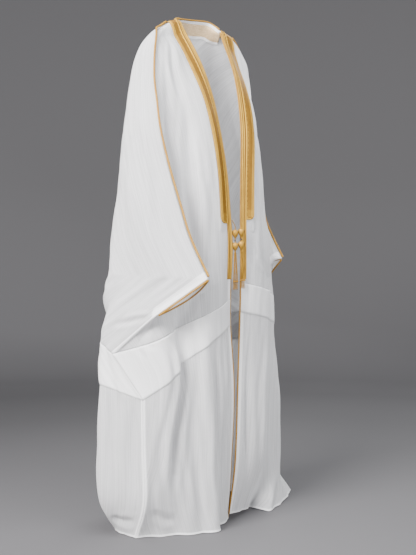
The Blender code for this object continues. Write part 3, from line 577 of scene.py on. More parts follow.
def place_in(net, shares, levels, level, share):
    """The point of a panel at a level and a share of its row."""
    row = np.interp(level, levels, np.arange(len(levels)))
    low = min(int(row), len(levels) - 2)
    ends = []
    for r in (low, low + 1):
        column = np.interp(share, shares[r], np.arange(shares.shape[1]))
        c = min(int(column), shares.shape[1] - 2)
        ends.append(net[r, c] + (net[r, c + 1] - net[r, c]) * (column - c))
    return ends[0] + (ends[1] - ends[0]) * (row - low)


CREASE_STEPS = 14
CREASE_REACH = 3.2
CREASE_MARGIN = 0.02
CREASE_TAPER = 0.3
FAR = 9.0
# Where the creases stop: beside the bands, below them, and along the front edge
BAND_MARGIN = 0.004
BAND_FOOT = 0.02
EDGE_CALM = 0.022
EDGE_CALM_RUN = 0.012


def crease_heights(net, shares, levels, half_width, depth, places):
    """Heights of one crease: deepest in its middle third, with a low swell on each side."""
    dense = spline(np.array(places), np.linspace(0, len(places) - 1, CREASE_STEPS))
    line = np.array([place_in(net, shares, levels, level, share) for level, share in dense])
    near = (levels > dense[:, 0].min() - 1.0) & (levels < dense[:, 0].max() + 1.0)
    best = np.full(net.shape[:2], FAR)
    where = np.zeros(net.shape[:2])
    best[near], where[near] = nearest(net[near], line)
    taper = smooth(where / CREASE_TAPER) * smooth((1 - where) / CREASE_TAPER)
    x = best / (half_width * (0.7 + 0.6 * taper))
    swell = 0.28 * np.exp(-((x - 1.9) / 0.8) ** 2)
    return depth * taper * (np.exp(-np.minimum(x, CREASE_REACH) ** 1.6) - swell)


# Slow unevenness of hanging cloth: amplitude, waves a metre across and down, phase
WAVES = ((.0016, 13.0, 1.1, .4), (.0012, 21.0, -1.7, 2.1), (.0008, 34.0, 2.6, 4.0),
         (.0005, 57.0, 3.4, 1.3), (.0004, 83.0, -5.0, 5.2))


def crease_net(panel, net, shares, levels, flip, banded):
    """The creases and the slow unevenness, kept off the seams and the gold bands."""
    length = net_lengths(net, 1)[:, -1:]
    across = shares * length
    down = net[:, :, 2]
    heights = np.zeros(shares.shape)
    for half_width, depth, *places in CREASES[panel]:
        heights += crease_heights(net, shares, levels, half_width, depth, places)
    for amplitude, waves_across, waves_down, phase in WAVES:
        turn = 2 * math.pi * (across * waves_across / 3 + down * waves_down) + phase
        heights += amplitude * np.sin(turn)
    from_ends = np.minimum(across, (1 - shares) * length)
    fade = smooth(from_ends / CREASE_MARGIN) * smooth(levels / 1.2)[:, None]
    if banded:
        under = (across < BAND_WIDTH + BAND_MARGIN) & (down > NECK_BAND_END["right"] - BAND_FOOT)
        fade = np.where(under, 0.0, fade) * smooth((across - EDGE_CALM) / EDGE_CALM_RUN)
    return net + net_normals(net, flip) * (heights * fade)[:, :, None]


class Panel:
    """One panel's net: its points, wall vectors, shares of the rows, and levels."""

    def __init__(self, name, net, shares, levels, flip):
        net = fold_net(name, net, shares, levels, flip)
        self.name = name
        self.net = crease_net(name, net, shares, levels, flip, name != "back")
        self.out = net_normals(self.net, flip)
        self.shares = shares
        self.levels = levels
        self.flip = flip


def make_panels():
    levels = fine_levels()
    front_r, back_r = side_guides("right", levels)
    front_l, back_l = side_guides("left", levels)
    bow_cuff(front_r, "right", levels)
    bow_cuff(front_l, "left", levels)
    net_r, share_r = front_net(front_r)
    net_l, share_l = front_net(front_l)
    net_b, share_b = back_net(back_r, back_l, net_r, net_l, levels)
    panels = {"front_right": Panel("front_right", net_r, share_r, levels, False),
              "front_left": Panel("front_left", net_l, share_l, levels, True),
              "back": Panel("back", net_b, share_b, levels, False)}
    join_sides(panels, levels)
    return panels, levels


def join_sides(panels, levels):
    """Join each front to the back: down the sleeve and side, then along the shoulder."""
    last = panels["front_right"].net.shape[1] - 1
    back = panels["back"]
    shared = [row for row, level in enumerate(levels) if row and not CUFF_CORNER < level < CUFF_FOOT]
    sleeve = [row for row in shared if levels[row] <= CUFF_CORNER]
    side = [row for row in shared if levels[row] >= CUFF_FOOT]
    for front, end, step in (("front_right", 0, 1), ("front_left", back.net.shape[1] - 1, -1)):
        for rows in (sleeve, side):
            cells = [((r, last), (r, last - 1), (r, end), (r, end + step)) for r in rows]
            join_seam(panels[front], back, cells)
        cells = []
        for column in range(last + 1):
            match = end + step * (last - column)
            turn = int(column == last)
            cells.append(((0, column), (1, column - turn), (0, match), (1, match + turn * step)))
        join_seam(panels[front], back, cells)


# Meshes

def add_mesh(name, vertices, faces, look, values=None, across=None, down=None):
    """A smooth mesh with its material, vertex values and a map of distances in metres."""
    mesh = bpy.data.meshes.new(name)
    mesh.from_pydata(np.asarray(vertices, float).tolist(), [], faces)
    mesh.materials.append(look)
    mesh.shade_smooth()
    for key, value in (values or {}).items():
        layer = mesh.attributes.new(key, "FLOAT", "POINT")
        layer.data.foreach_set("value", np.asarray(value, np.float32).ravel())
    if across is not None:
        corners = np.zeros(len(mesh.loops), np.int32)
        mesh.loops.foreach_get("vertex_index", corners)
        pairs = np.column_stack([np.ravel(across), np.ravel(down)])[corners]
        mesh.uv_layers.new(name="UVMap").data.foreach_set("uv", pairs.astype(np.float32).ravel())
    made = bpy.data.objects.new(name, mesh)
    bpy.context.scene.collection.objects.link(made)
    return made


def grid_faces(rows, columns, base, reverse):
    r, c = np.meshgrid(np.arange(rows - 1), np.arange(columns - 1), indexing="ij")
    a = (base + r * columns + c).ravel()
    quads = np.column_stack([a, a + 1, a + columns + 1, a + columns])
    if reverse:
        quads = quads[:, ::-1]
    return quads.tolist()


def border(rows, columns):
    """Vertex numbers once round a grid."""
    top = list(range(columns))
    right = [r * columns + columns - 1 for r in range(1, rows)]
    bottom = [(rows - 1) * columns + c for c in range(columns - 2, -1, -1)]
    left = [r * columns for r in range(rows - 2, 0, -1)]
    return top + right + bottom + left


def wall(name, net, out, low, high, flip, look, values):
    """A closed sheet between two heights over a net; heights may differ from point to point."""
    rows, columns = net.shape[:2]
    count = rows * columns
    low = np.broadcast_to(np.asarray(low, float), (rows, columns))[:, :, None]
    high = np.broadcast_to(np.asarray(high, float), (rows, columns))[:, :, None]
    vertices = np.concatenate([(net + out * high).reshape(-1, 3), (net + out * low).reshape(-1, 3)])
    faces = grid_faces(rows, columns, 0, flip) + grid_faces(rows, columns, count, not flip)
    ring = border(rows, columns)
    for a, b in zip(ring, ring[1:] + ring[:1]):
        quad = (b, a, a + count, b + count)
        faces.append(tuple(reversed(quad)) if flip else quad)
    doubled = {key: np.tile(np.ravel(value), 2) for key, value in values.items()}
    return add_mesh(name, vertices, faces, look, doubled, np.tile(net_lengths(net, 1).ravel(), 2),
                    np.tile(net_lengths(net, 0).ravel(), 2))


def ring_faces(rings, sides, base=0, outward=True):
    """Quads between closed rings of points that are numbered one ring after the other."""
    faces = []
    for start in range(base, base + (rings - 1) * sides, sides):
        for k in range(sides):
            n = (k + 1) % sides
            quad = (start + k, start + n, start + sides + n, start + sides + k)
            faces.append(quad if outward else (quad[0], quad[3], quad[2], quad[1]))
    return faces


def tube(name, line, look, radius, strands, pitch, depth, sides, ring, caps=True):
    """A twisted cord along a line: strands wind round it once in each pitch."""
    run = (line, lengths_along(line))
    count = max(int(run[1][-1] / ring), 8)
    at_length = np.linspace(0, run[1][-1], count + 1)
    line = on_run(run, at_length)
    tangents = unit(np.gradient(line, axis=0))
    side = np.cross(tangents[0], (0.3, 0.2, 1.0) if abs(tangents[0][2]) < 0.9 else (1.0, 0.2, 0.1))
    angles = 2 * math.pi * np.arange(sides) / sides
    vertices = []
    tones_and_shading = []
    for k in range(count + 1):
        side = unit(side - tangents[k] * np.dot(side, tangents[k]))
        other = np.cross(tangents[k], side)
        swell = np.cos(strands * (angles - 2 * math.pi * at_length[k] / pitch))
        reach = radius * (1 - depth + depth * swell)
        if caps and k in (0, count):
            reach = reach * END_SHARE
        vertices.append(line[k] + np.outer(reach * np.cos(angles), side)
                        + np.outer(reach * np.sin(angles), other))
        # Painted highlight on the crests of the strands and painted shade in the grooves between
        # them, all shifted darker
        tones_and_shading.append(swell * 0.55 - 0.2)
    faces = ring_faces(count + 1, sides)
    faces += [tuple(reversed(range(sides))), tuple(count * sides + s for s in range(sides))]
    made = add_mesh(name, np.concatenate(vertices), faces, look, {"tone_and_shading": np.concatenate(tones_and_shading)},
                    np.tile(angles * radius, count + 1), np.repeat(at_length, sides))
    return made, line


def turned(outline, centre, sides, ribs, rib_depth, rings=40):
    """A solid turned about a vertical line, with ribs down it like wound thread."""
    fine = spline(outline, np.linspace(0, len(outline) - 1, rings))
    x, y, z = centre
    vertices = [(x, y, z + fine[0][1])]
    # The top and bottom points are darker
    tones_and_shading = [-0.5]
    for radius, height in fine:
        for k in range(sides):
            angle = 2 * math.pi * k / sides
            swell = math.cos(ribs * angle)
            reach = radius * (1 + rib_depth * (swell - 1) / 2)
            vertices.append((x + reach * math.cos(angle), y + reach * math.sin(angle), z + height))
            # Painted highlight on the crests of the ribs and painted shade in the grooves between
            # them
            tones_and_shading.append(0.7 * swell)
    last = len(vertices)
    vertices.append((x, y, z + fine[-1][1]))
    tones_and_shading.append(-0.5)
    faces = ring_faces(rings, sides, 1, False)
    for k in range(sides):
        n = (k + 1) % sides
        faces += [(0, 1 + k, 1 + n), (last, last - sides + n, last - sides + k)]
    return vertices, faces, tones_and_shading


def finished(piece, node):
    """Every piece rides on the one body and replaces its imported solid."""
    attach(piece, BODY)
    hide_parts(node)
    return piece


# Materials

class Nodes:
    """Short calls for making and linking shader nodes."""

    def __init__(self, name):
        self.material = bpy.data.materials.new(name)
        self.material.use_nodes = True
        self.tree = self.material.node_tree
        self.shader = self.tree.nodes["Principled BSDF"]

    def add(self, kind, inputs, **settings):
        made = self.tree.nodes.new(kind)
        for key, value in settings.items():
            setattr(made, key, value)
        for key, value in inputs.items():
            self.put(made.inputs[key], value)
        return made

    def put(self, socket, value):
        if isinstance(value, bpy.types.NodeSocket):
            self.tree.links.new(value, socket)
        else:
            socket.default_value = value

    def uv(self, across, down):
        """Map coordinates stretched by so many cells a metre."""
        source = self.add("ShaderNodeUVMap", {}, uv_map="UVMap").outputs["UV"]
        mapping = self.add("ShaderNodeMapping", {"Vector": source, "Scale": (across, down, 1.0)})
        return mapping.outputs["Vector"]

    def noise(self, vector, detail=3.0, roughness=0.55):
        return self.add("ShaderNodeTexNoise", {"Vector": vector, "Scale": 1.0, "Detail": detail,
                                               "Roughness": roughness}).outputs["Fac"]

    def wave(self, vector, direction):
        return self.add("ShaderNodeTexWave", {"Vector": vector, "Scale": 1.0}, wave_type="BANDS",
                        bands_direction=direction).outputs["Fac"]

    def weave(self):
        """Warp and weft threads."""
        warp = self.wave(self.uv(WAVE_BAND / WEAVE, 1), "X")
        weft = self.wave(self.uv(1, WAVE_BAND / WEAVE), "Y")
        return self.math("ADD", warp, weft)

    def remap(self, value, low, high, start=0.0, end=1.0):
        return self.add("ShaderNodeMapRange", {"Value": value, "From Min": low, "From Max": high,
                                               "To Min": start, "To Max": end}).outputs["Result"]

    def math(self, operation, first, second):
        return self.add("ShaderNodeMath", {0: first, 1: second}, operation=operation).outputs[0]

    def mix(self, factor, first, second, blend="MIX"):
        return self.add("ShaderNodeMix", {"Factor": factor, "A": first, "B": second},
                        data_type="RGBA", blend_type=blend).outputs["Result"]

    def value(self, name):
        return self.add("ShaderNodeAttribute", {}, attribute_name=name).outputs["Fac"]

    def bump(self, height, strength, distance):
        made = self.add("ShaderNodeBump", {"Height": height, "Strength": strength,
                                           "Distance": distance})
        self.set(Normal=made.outputs["Normal"])

    def set(self, **inputs):
        for key, value in inputs.items():
            self.put(self.shader.inputs[key.replace("_", " ")], value)


# Wave texture: a band of scale 1 is this long
WAVE_BAND = 2 * math.pi / 20
WEAVE = 0.0009
THREAD_TURN = 0.0016


def cloth_look(name, folded):
    """Fine sheer cloth: threads, slubs and streaks, and whiter where it lies double."""
    n = Nodes(name)
    streak = n.noise(n.uv(260, 3.5))
    broad = n.noise(n.uv(38, 1.6), 2.0)
    slub = n.remap(n.noise(n.uv(900, 26), 1.0), 0.66, 0.74)
    if folded:
        base, alpha, glow = DOUBLE, FOLDED_ALPHA, DOUBLE_GLOW
    else:
        lap = n.remap(n.value("lap"), -0.0004, 0.0006)
        base = n.mix(lap, SINGLE, DOUBLE)
        thin = n.remap(streak, 0.35, 0.65, 1 - SHEER, 1 - 0.55 * SHEER)
        alpha = n.math("MAXIMUM", thin, n.remap(lap, 0.0, 1.0, 0.0, LAP_ALPHA))
        glow = n.remap(lap, 0.0, 1.0, SINGLE_GLOW, DOUBLE_GLOW)
    shade = n.remap(n.math("ADD", streak, broad), 0.75, 1.25, 0.90, 1.05)
    colour = n.mix(1.0, base, shade, "MULTIPLY")
    n.set(Base_Color=n.mix(n.math("MULTIPLY", slub, 0.35), colour, SLUB), Alpha=alpha,
          Roughness=0.62, Sheen_Weight=0.12, Sheen_Roughness=0.45, Specular_IOR_Level=0.28,
          Subsurface_Weight=glow, Subsurface_Scale=0.012, Subsurface_Radius=(1.0, 1.0, 1.0))
    rough = n.math("ADD", n.math("MULTIPLY", streak, 2.4), n.math("MULTIPLY", slub, 0.8))
    n.bump(n.math("ADD", n.weave(), rough), 0.22, 0.00025)
    return n.material


def gold_look(name, metallic):
    """Gold thread in its own dark and pale fields, with a painted highlight on the crests of the
    relief and painted brown shade in its channels.
    """
    n = Nodes(name)
    grain = n.noise(n.uv(700, 260))
    patch = n.noise(n.uv(34, 26), 2.0)
    level = n.math("ADD", n.value("tone_and_shading"), n.remap(grain, 0.3, 0.7, -0.35, 0.35))
    level = n.math("ADD", level, n.remap(patch, 0.35, 0.65, -0.12, 0.12))
    low = n.mix(n.remap(level, -1.0, 0.0), GOLD_DARK_AND_SHADE, GOLD_MIDDLE)
    n.set(Base_Color=n.mix(n.remap(level, 0.0, 1.0), low, GOLD_PALE_AND_HIGHLIGHT), Metallic=metallic,
          Roughness=n.remap(grain, 0.3, 0.7, 0.44, 0.62), Specular_IOR_Level=0.30)
    turns = n.wave(n.uv(WAVE_BAND / THREAD_TURN, WAVE_BAND / THREAD_TURN), "DIAGONAL")
    n.bump(n.math("ADD", turns, grain), 0.45, 0.0004)
    return n.material


def facing_look(name):
    """Beige lining with a mottled weave."""
    n = Nodes(name)
    mottle = n.noise(n.uv(190, 190), 4.0, 0.7)
    streak = n.noise(n.uv(60, 900), 2.0)
    fleck = n.remap(n.math("ADD", mottle, streak), 0.75, 1.25)
    n.set(Base_Color=n.mix(fleck, *FACING_TONES), Roughness=0.8, Sheen_Weight=0.1)
    n.bump(n.math("ADD", n.weave(), mottle), 0.35, 0.0003)
    return n.material


def dark_look(name):
    """Dark polished bead."""
    n = Nodes(name)
    n.set(Base_Color=n.mix(n.noise(n.uv(300, 300), 2.0), *DARK_TONES), Roughness=0.16,
          Coat_Weight=0.5)
    return n.material


def stage_look(name):
    """Plain paper with a painted pool of light: palest where the cloak stands, painted darker
    further out on the floor, and painted lighter again on the wall.
    """
    n = Nodes(name)
    source = n.add("ShaderNodeTexCoord", {}).outputs["Object"]
    cloud = n.noise(source, 2.0)
    centre = n.add("ShaderNodeMapping", {"Vector": source, "Location": (0.35, 0.35, -FLOOR)})
    away = n.add("ShaderNodeVectorMath", {0: centre.outputs["Vector"]}, operation="LENGTH")
    distance = n.math("ADD", away.outputs["Value"], n.remap(cloud, 0, 1, -0.15, 0.15))
    floor = n.mix(n.remap(distance, 0.2, 2.4), PAPER_LIGHT_POOL, PAPER_FAR_SHADED)
    n.set(Base_Color=n.mix(n.remap(distance, 3.4, 5.0), floor, PAPER_WALL), Roughness=0.8)
    return n.material


# Painted light on the paper: a pool of light near the cloak, painted shade on the far floor, and the
# wall painted lighter than the far floor
PAPER_LIGHT_POOL = (0.086, 0.084, 0.0885, 1)
PAPER_FAR_SHADED = (0.048, 0.047, 0.0495, 1)
PAPER_WALL = (0.100, 0.098, 0.102, 1)
SINGLE = (0.875, 0.872, 0.890, 1)
DOUBLE = (0.925, 0.92, 0.93, 1)
SLUB = (0.93, 0.94, 0.95, 1)
# Gold: darkest for its dark fields and for painted shade, palest for its pale thread and for painted
# highlights
GOLD_DARK_AND_SHADE = (0.190, 0.088, 0.012, 1)
GOLD_MIDDLE = (0.36, 0.185, 0.020, 1)
GOLD_PALE_AND_HIGHLIGHT = (0.68, 0.43, 0.070, 1)
FACING_TONES = ((0.43, 0.29, 0.15, 1), (0.69, 0.53, 0.33, 1))
DARK_TONES = ((0.012, 0.008, 0.006, 1), (0.05, 0.032, 0.022, 1))
# How see-through one layer is, how solid the doubled cloth is, and how far light spreads in
SHEER = 0.22
LAP_ALPHA = 0.95
FOLDED_ALPHA = 0.94
SINGLE_GLOW = 0.75
DOUBLE_GLOW = 0.35


# Camera, light and stage

def placed(name, data, place, forward):
    """A camera or light at a place, looking forward."""
    made = bpy.data.objects.new(name, data)
    made.location = place
    made.rotation_euler = forward.to_track_quat("-Z", "Y").to_euler()
    bpy.context.scene.collection.objects.link(made)
    return made


def make_camera():
    camera = bpy.data.cameras.new("camera")
    camera.sensor_fit = "VERTICAL"
    camera.sensor_height = SENSOR
    camera.lens = PIXELS_PER_TURN / FRAME_HEIGHT * SENSOR
    camera.shift_x = SHIFT_PIXELS / FRAME_HEIGHT
    camera.clip_end = 50
    forward = Vector((math.sin(CAMERA_AZIMUTH), math.cos(CAMERA_AZIMUTH), 0))
    place = Vector((0, 0, CAMERA_HEIGHT)) - forward * CAMERA_DISTANCE
    bpy.context.scene.camera = placed("camera", camera, place, forward)


# Lights: azimuth from the camera, height, distance, width, power, colour
LIGHTS = (
    ("key", 34, 1.1, 3.4, 1.8, 620, (1.0, 0.985, 0.98)),
    ("fill", -50, 0.0, 3.4, 2.4, 150, (0.975, 0.985, 1.0)),
    ("top", 0, 2.6, 0.9, 2.0, 120, (1.0, 1.0, 1.0)),
    ("rim", -150, 1.0, 3.2, 1.8, 90, (0.98, 0.985, 1.0)),
)
LIGHT_AIM = Vector((0, 0, -0.8))
SKY = (0.80, 0.82, 0.86, 1)
SKY_STRENGTH = 0.8


def make_lights():
    for name, azimuth, height, distance, size, power, colour in LIGHTS:
        light = bpy.data.lights.new(name, "AREA")
        light.size = size
        light.energy = power
        light.color = colour
        angle = CAMERA_AZIMUTH + math.pi + math.radians(azimuth)
        place = Vector((distance * math.sin(angle), distance * math.cos(angle), height))
        placed(name, light, place, LIGHT_AIM - place)
    world = bpy.data.worlds.new("world")
    bpy.context.scene.world = world
    world.use_nodes = True
    background = world.node_tree.nodes["Background"].inputs
    background["Color"].default_value = SKY
    background["Strength"].default_value = SKY_STRENGTH


def make_stage():
    """A pale floor that curves up into a round backdrop."""
    profile = []
    for k in range(STAGE_BEND_STEPS + 1):
        turn = math.pi / 2 * k / STAGE_BEND_STEPS
        profile.append((STAGE_RADIUS - STAGE_BEND + STAGE_BEND * math.sin(turn),
                        STAGE_BEND * (1 - math.cos(turn))))
    profile.append((STAGE_RADIUS, STAGE_WALL))
    vertices = [(0, 0, FLOOR)]
    for radius, height in profile:
        for k in range(STAGE_SIDES):
            angle = 2 * math.pi * k / STAGE_SIDES
            vertices.append((radius * math.cos(angle), radius * math.sin(angle), FLOOR + height))
    faces = [(0, 1 + k, 1 + (k + 1) % STAGE_SIDES) for k in range(STAGE_SIDES)]
    faces += ring_faces(len(profile), STAGE_SIDES, 1, False)
    add_mesh("stage", vertices, faces, stage_look("stage"))


# Cloth pieces

def laps(panel, levels):
    """How far each point lies inside a double layer: seams, hem, front edge and cuffs."""
    net = panel.net
    across = net_lengths(net, 1)
    lap = HEM_LAP - np.abs(net[:, :, 2] - net[-1:, :, 2])
    sides = [(across[:, -1:] - across, -1)]
    if panel.name == "back":
        sides.append((across, 0))
    else:
        lap = np.maximum(lap, EDGE_LAP - across)
    cuff = (levels >= CUFF_CORNER) & (levels <= CUFF_FOOT)
    near = (levels > CUFF_CORNER - 2) & (levels < CUFF_FOOT + 1)
    for side, column in sides:
        lap = np.maximum(lap, np.where(levels[:, None] >= CUFF_FOOT, SEAM_LAP - side, -1.0))
        reach = np.full(net.shape[:2], -1.0)
        reach[near] = CUFF_LAP - nearest(net[near], net[cuff, column][::3])[0]
        lap = np.maximum(lap, np.where(levels[:, None] <= CUFF_FOOT, reach, -1.0))
    return lap


def make_cloth(panels, levels):
    """Each panel above and below the tuck, and its tuck as a fold laid over the skirt's top."""
    single = cloth_look("white_cloth", False)
    double = cloth_look("white_cloth_double", True)
    parts = (("%s_top", 0, TUCK_TOP), ("%s_skirt", TUCK_TOP, len(FINE_STEPS)),
             ("tuck_%s", TUCK_TOP, TUCK_FOOT))
    pieces = {}
    for name, panel in panels.items():
        lap = laps(panel, levels)
        lift = LAP_RISE * smooth(lap / LAP_EDGE + 0.5)
        # The cloth under the tuck takes the doubled look: less see-through, less light spread in,
        # and a whiter colour, which is painted light on its shaded inside face
        lap[(levels > TUCK_TOP) & (levels < TUCK_FOOT)] = UNDER_TUCK
        from_hem = np.abs(panel.net[:, :, 2] - panel.net[-1:, :, 2])
        half = CLOTH_HALF + (HEM_HALF - CLOTH_HALF) * (1 - smooth(from_hem / HEM_ROLL))
        for pattern, first, last in parts:
            node = pattern % name
            keep = (levels >= first - 1e-6) & (levels <= last + 1e-6)
            net = panel.net[keep]
            end, inner = (0, 1) if first else (-1, -2)
            net[end] += unit(net[inner] - net[end]) * SEAM_GAP / 2
            if node.startswith("tuck"):
                low, look = CLOTH_HALF + LAY_GAP, double
                high = low + 2 * TUCK_HALF
            else:
                low, high, look = -half[keep], (half + lift)[keep], single
            piece = wall("cloth_" + node, net, panel.out[keep], low, high, panel.flip, look,
                         {"lap": lap[keep]})
            pieces[node] = finished(piece, node)
    return pieces, double


def neck_rows(panel, columns, neck, distance):
    """The row at which each column reaches a distance from the neckline."""
    deepest = np.interp(1.4, panel.levels, np.arange(len(panel.levels)))
    trial = np.linspace(0.0, deepest, 90)
    grid = np.repeat(trial[:, None], len(columns), axis=1)
    points, _ = sample(panel, grid, np.broadcast_to(columns, grid.shape))
    reach = np.maximum.accumulate(nearest(points, neck)[0], axis=0)
    return np.array([np.interp(distance, reach[:, k], trial) for k in range(len(columns))])


def make_facing(panels, double):
    """Tape, facing and its hem inside the back of the neck."""
    panel = panels["back"]
    first = panels["front_right"].net.shape[1] - 1
    neck = panel.net[0, first:first + NECK_STEPS + 1]
    high = -(CLOTH_HALF + LAY_GAP)
    marks = {"neck_tape": (0.0006, TAPE_WIDTH, double, 0.0008),
             "neck_facing": (TAPE_WIDTH, FACING_END, facing_look("beige_facing"), 0.0006),
             "facing_hem": (FACING_END, FACING_HEM_END, double, 0.0014)}
    share = np.linspace(0, 1, 2 * NECK_STEPS + 1)
    pieces = {}
    for node, (start, end, look, thick) in marks.items():
        places = np.linspace(start, end, 12)
        spread = FACING_SPREAD * places / FACING_HEM_END / BAND_STEP
        columns = first - spread[:, None] + share * (NECK_STEPS + 2 * spread[:, None])
        rows = np.array([neck_rows(panel, line, neck, place)
                         for line, place in zip(columns, places)])
        net, out = sample(panel, rows, columns)
        ripple = FACING_RIPPLE * np.sin(np.linspace(0, 46, net.shape[1]))[None, :]
        bulge = np.sin(np.linspace(0, math.pi, len(places)))[:, None]
        net = net - unit(out) * (ripple * bulge + FACING_RIPPLE)[:, :, None]
        piece = wall("sewn_" + node, net, out, high - thick, high, False, look,
                     {"lap": np.zeros(net.shape[:2])})
        pieces[node] = finished(piece, node)
    return pieces


def blend_rows(values, row):
    low = min(int(row), len(values) - 2)
    return values[low] + (values[low + 1] - values[low]) * (row - low)


# Gold bands

def sample(panel, rows, columns):
    """Points and wall vectors at arrays of places, in rows and columns of the fine net."""
    net, out = panel.net, panel.out
    r = np.clip(rows.astype(int), 0, net.shape[0] - 2)
    c = np.clip(columns.astype(int), 0, net.shape[1] - 2)
    u = (rows - r)[:, :, None]
    v = (columns - c)[:, :, None]
    made = []
    for table in (net, out):
        made.append((1 - u) * ((1 - v) * table[r, c] + v * table[r, c + 1])
                    + u * ((1 - v) * table[r + 1, c] + v * table[r + 1, c + 1]))
    return made


def rib(distance, centre, half_width):
    x = np.clip(np.abs(distance - centre) / half_width, 0, 1)
    return np.sqrt(1 - x ** 2)


def stitches(across, along):
    """A chain stitch: a row of small grains along a line."""
    phase = (along / STITCH_PITCH) % 1.0 - 0.5
    x = (across - STITCH_LINE) / STITCH_HALF
    y = phase / 0.40
    return np.sqrt(np.clip(1 - x ** 2 - y ** 2, 0, 1))


def band_relief(across, along, from_rim, field_end):
    """Heights and colour values of the gold work, from the inner edge and from the outer rim: the
    thread's own dark and pale fields and pale chain stitch, with a painted highlight on rib crests
    and hatch ridges and painted shade at the rib feet.
    """
    starts, bright = np.array(FIELDS).T
    field = np.searchsorted(starts, across + 1e-6, side="right") - 1
    hatch = np.sin(2 * math.pi * (across + along * 0.8) / HATCH_PITCH)
    height = BAND_BASE + HATCH_HEIGHT * hatch
    # Each field's own brightness, with a painted highlight on the hatch ridges and painted shade
    # between them
    tone_and_shading = np.where(from_rim < RIM_FIELD, -1.2, bright[field]) + 0.20 * hatch
    ribs = []
    for centre, half_width, rise in INNER_RIBS:
        shown = (centre < EDGE_BAND) | (from_rim > RIM_FIELD)
        ribs.append((rib(across, centre, half_width) * shown, rise))
    for centre, half_width, rise in OUTER_RIBS:
        ribs.append((rib(from_rim, centre, half_width), rise))
    for shape, rise in ribs:
        height = np.maximum(height, BAND_BASE + rise * shape)
        # Painted highlight on each rib's crest and painted shade at its feet
        tone_and_shading = np.where(shape > 0, -0.6 + 1.5 * shape, tone_and_shading)
    shape = stitches(across, along)
    height = np.maximum(height, BAND_BASE + STITCH_HEIGHT * shape)
    # Pale thread of the chain stitch, with a painted highlight at the middle of each grain
    tone_and_shading = np.where(shape > 0.15, 0.5 + 0.5 * shape, tone_and_shading)
    inside = (from_rim > RIM_FIELD) & (across > EDGE_BAND)
    patch = smooth((along - field_end + 0.022) / 0.003) * inside
    return height, tone_and_shading + patch * (0.55 + 0.25 * hatch)


def column_rows(panel, column, end_height):
    """Row of the net at which a column reaches a height."""
    depth = -blend_rows(panel.net.transpose(1, 0, 2), column)[:, 2]
    return float(np.interp(-end_height, depth, np.arange(len(depth))))


def band_ends(panel, across, end, rounded):
    """The row at which each column of a band ends; a rounded band rises to its outer corner."""
    rows = []
    for place in across:
        inside = max(NECK_BAND_CORNER - (BAND_WIDTH - place), 0.0) if rounded else 0.0
        rise = NECK_BAND_CORNER - math.sqrt(NECK_BAND_CORNER ** 2 - inside ** 2)
        rows.append(column_rows(panel, place / BAND_STEP, end + rise))
    return np.array(rows)


def rim_distance(from_side, from_end):
    """Distance from a band's outer rim, which goes round its lower corner."""
    corner = NECK_BAND_CORNER
    near = (from_side < corner) & (from_end < corner)
    rounded = corner - np.hypot(corner - from_side, corner - from_end)
    return np.where(near, rounded, np.minimum(from_side, from_end))


def make_band(panel, node, first, last, end, look):
    across = np.linspace(first, last, int(round((last - first) / BAND_FINE)) + 1)
    columns = across / BAND_STEP
    ends = band_ends(panel, across, end, first > 0)
    trial = np.linspace(0, 1, 400)
    edge = sample(panel, (trial * ends[0])[:, None], np.full((400, 1), columns[0]))[0][:, 0]
    lengths = lengths_along(edge)
    even = np.linspace(0, lengths[-1], int(lengths[-1] / BAND_ROW))
    rows = np.interp(even, lengths, trial)[:, None] * ends[None, :]
    net, out = sample(panel, rows, np.broadcast_to(columns, rows.shape))
    along = net_lengths(net, 0)
    across = np.broadcast_to(across, rows.shape)
    total = along[-1].max()
    if first:
        rim = rim_distance(BAND_WIDTH - across, total - along)
        net[:, 0] += unit(net[:, 1] - net[:, 0]) * SEAM_GAP / 2
    else:
        rim = np.full(rows.shape, 1.0)
        net[:, -1] += unit(net[:, -2] - net[:, -1]) * SEAM_GAP / 2
    height, tone_and_shading = band_relief(across, along, rim, total - BAND_FIELD_END)
    low = CLOTH_HALF + BAND_LIFT
    finished(wall("gold_" + node, net, out, low, low + height, panel.flip, look, {"tone_and_shading": tone_and_shading}),
             node)


def make_bands(panels, look):
    for side in SIDES:
        panel = panels["front_" + side]
        make_band(panel, "edge_band_" + side, 0.0, EDGE_BAND, EDGE_BAND_END, look)
        make_band(panel, "neck_band_" + side, EDGE_BAND, BAND_WIDTH, NECK_BAND_END[side], look)


def make_back_band(panels, look):
    """The band round the back of the neck: its rows keep their distance from the neckline."""
    panel = panels["back"]
    corner = panels["front_right"].net.shape[1] - 1
    side = int(round(BAND_WIDTH / BAND_STEP))
    first = corner - side
    last = corner + NECK_STEPS + side
    columns = np.linspace(first + 0.3, last - 0.3, 3 * (last - first) + 1)
    neck = panel.net[0, corner:corner + 1 + NECK_STEPS]
    start = np.interp(0.03, panel.levels, np.arange(len(panel.levels)))
    ends = np.maximum(neck_rows(panel, columns, neck, BAND_WIDTH), start + 0.5)
    rows = start + np.linspace(0, 1, 70)[:, None] * (ends - start)[None, :]
    net, out = sample(panel, rows, np.broadcast_to(columns, rows.shape))
    across = nearest(net, neck)[0]
    along = np.broadcast_to(lengths_along(net[0]), rows.shape)
    height, tone_and_shading = band_relief(across, along, BAND_WIDTH - across, 9.0)
    low = CLOTH_HALF + BACK_BAND_LIFT
    finished(wall("gold_neck_band_back", net, out, low, low + height, False, look, {"tone_and_shading": tone_and_shading}),
             "neck_band_back")


# Sewn cords

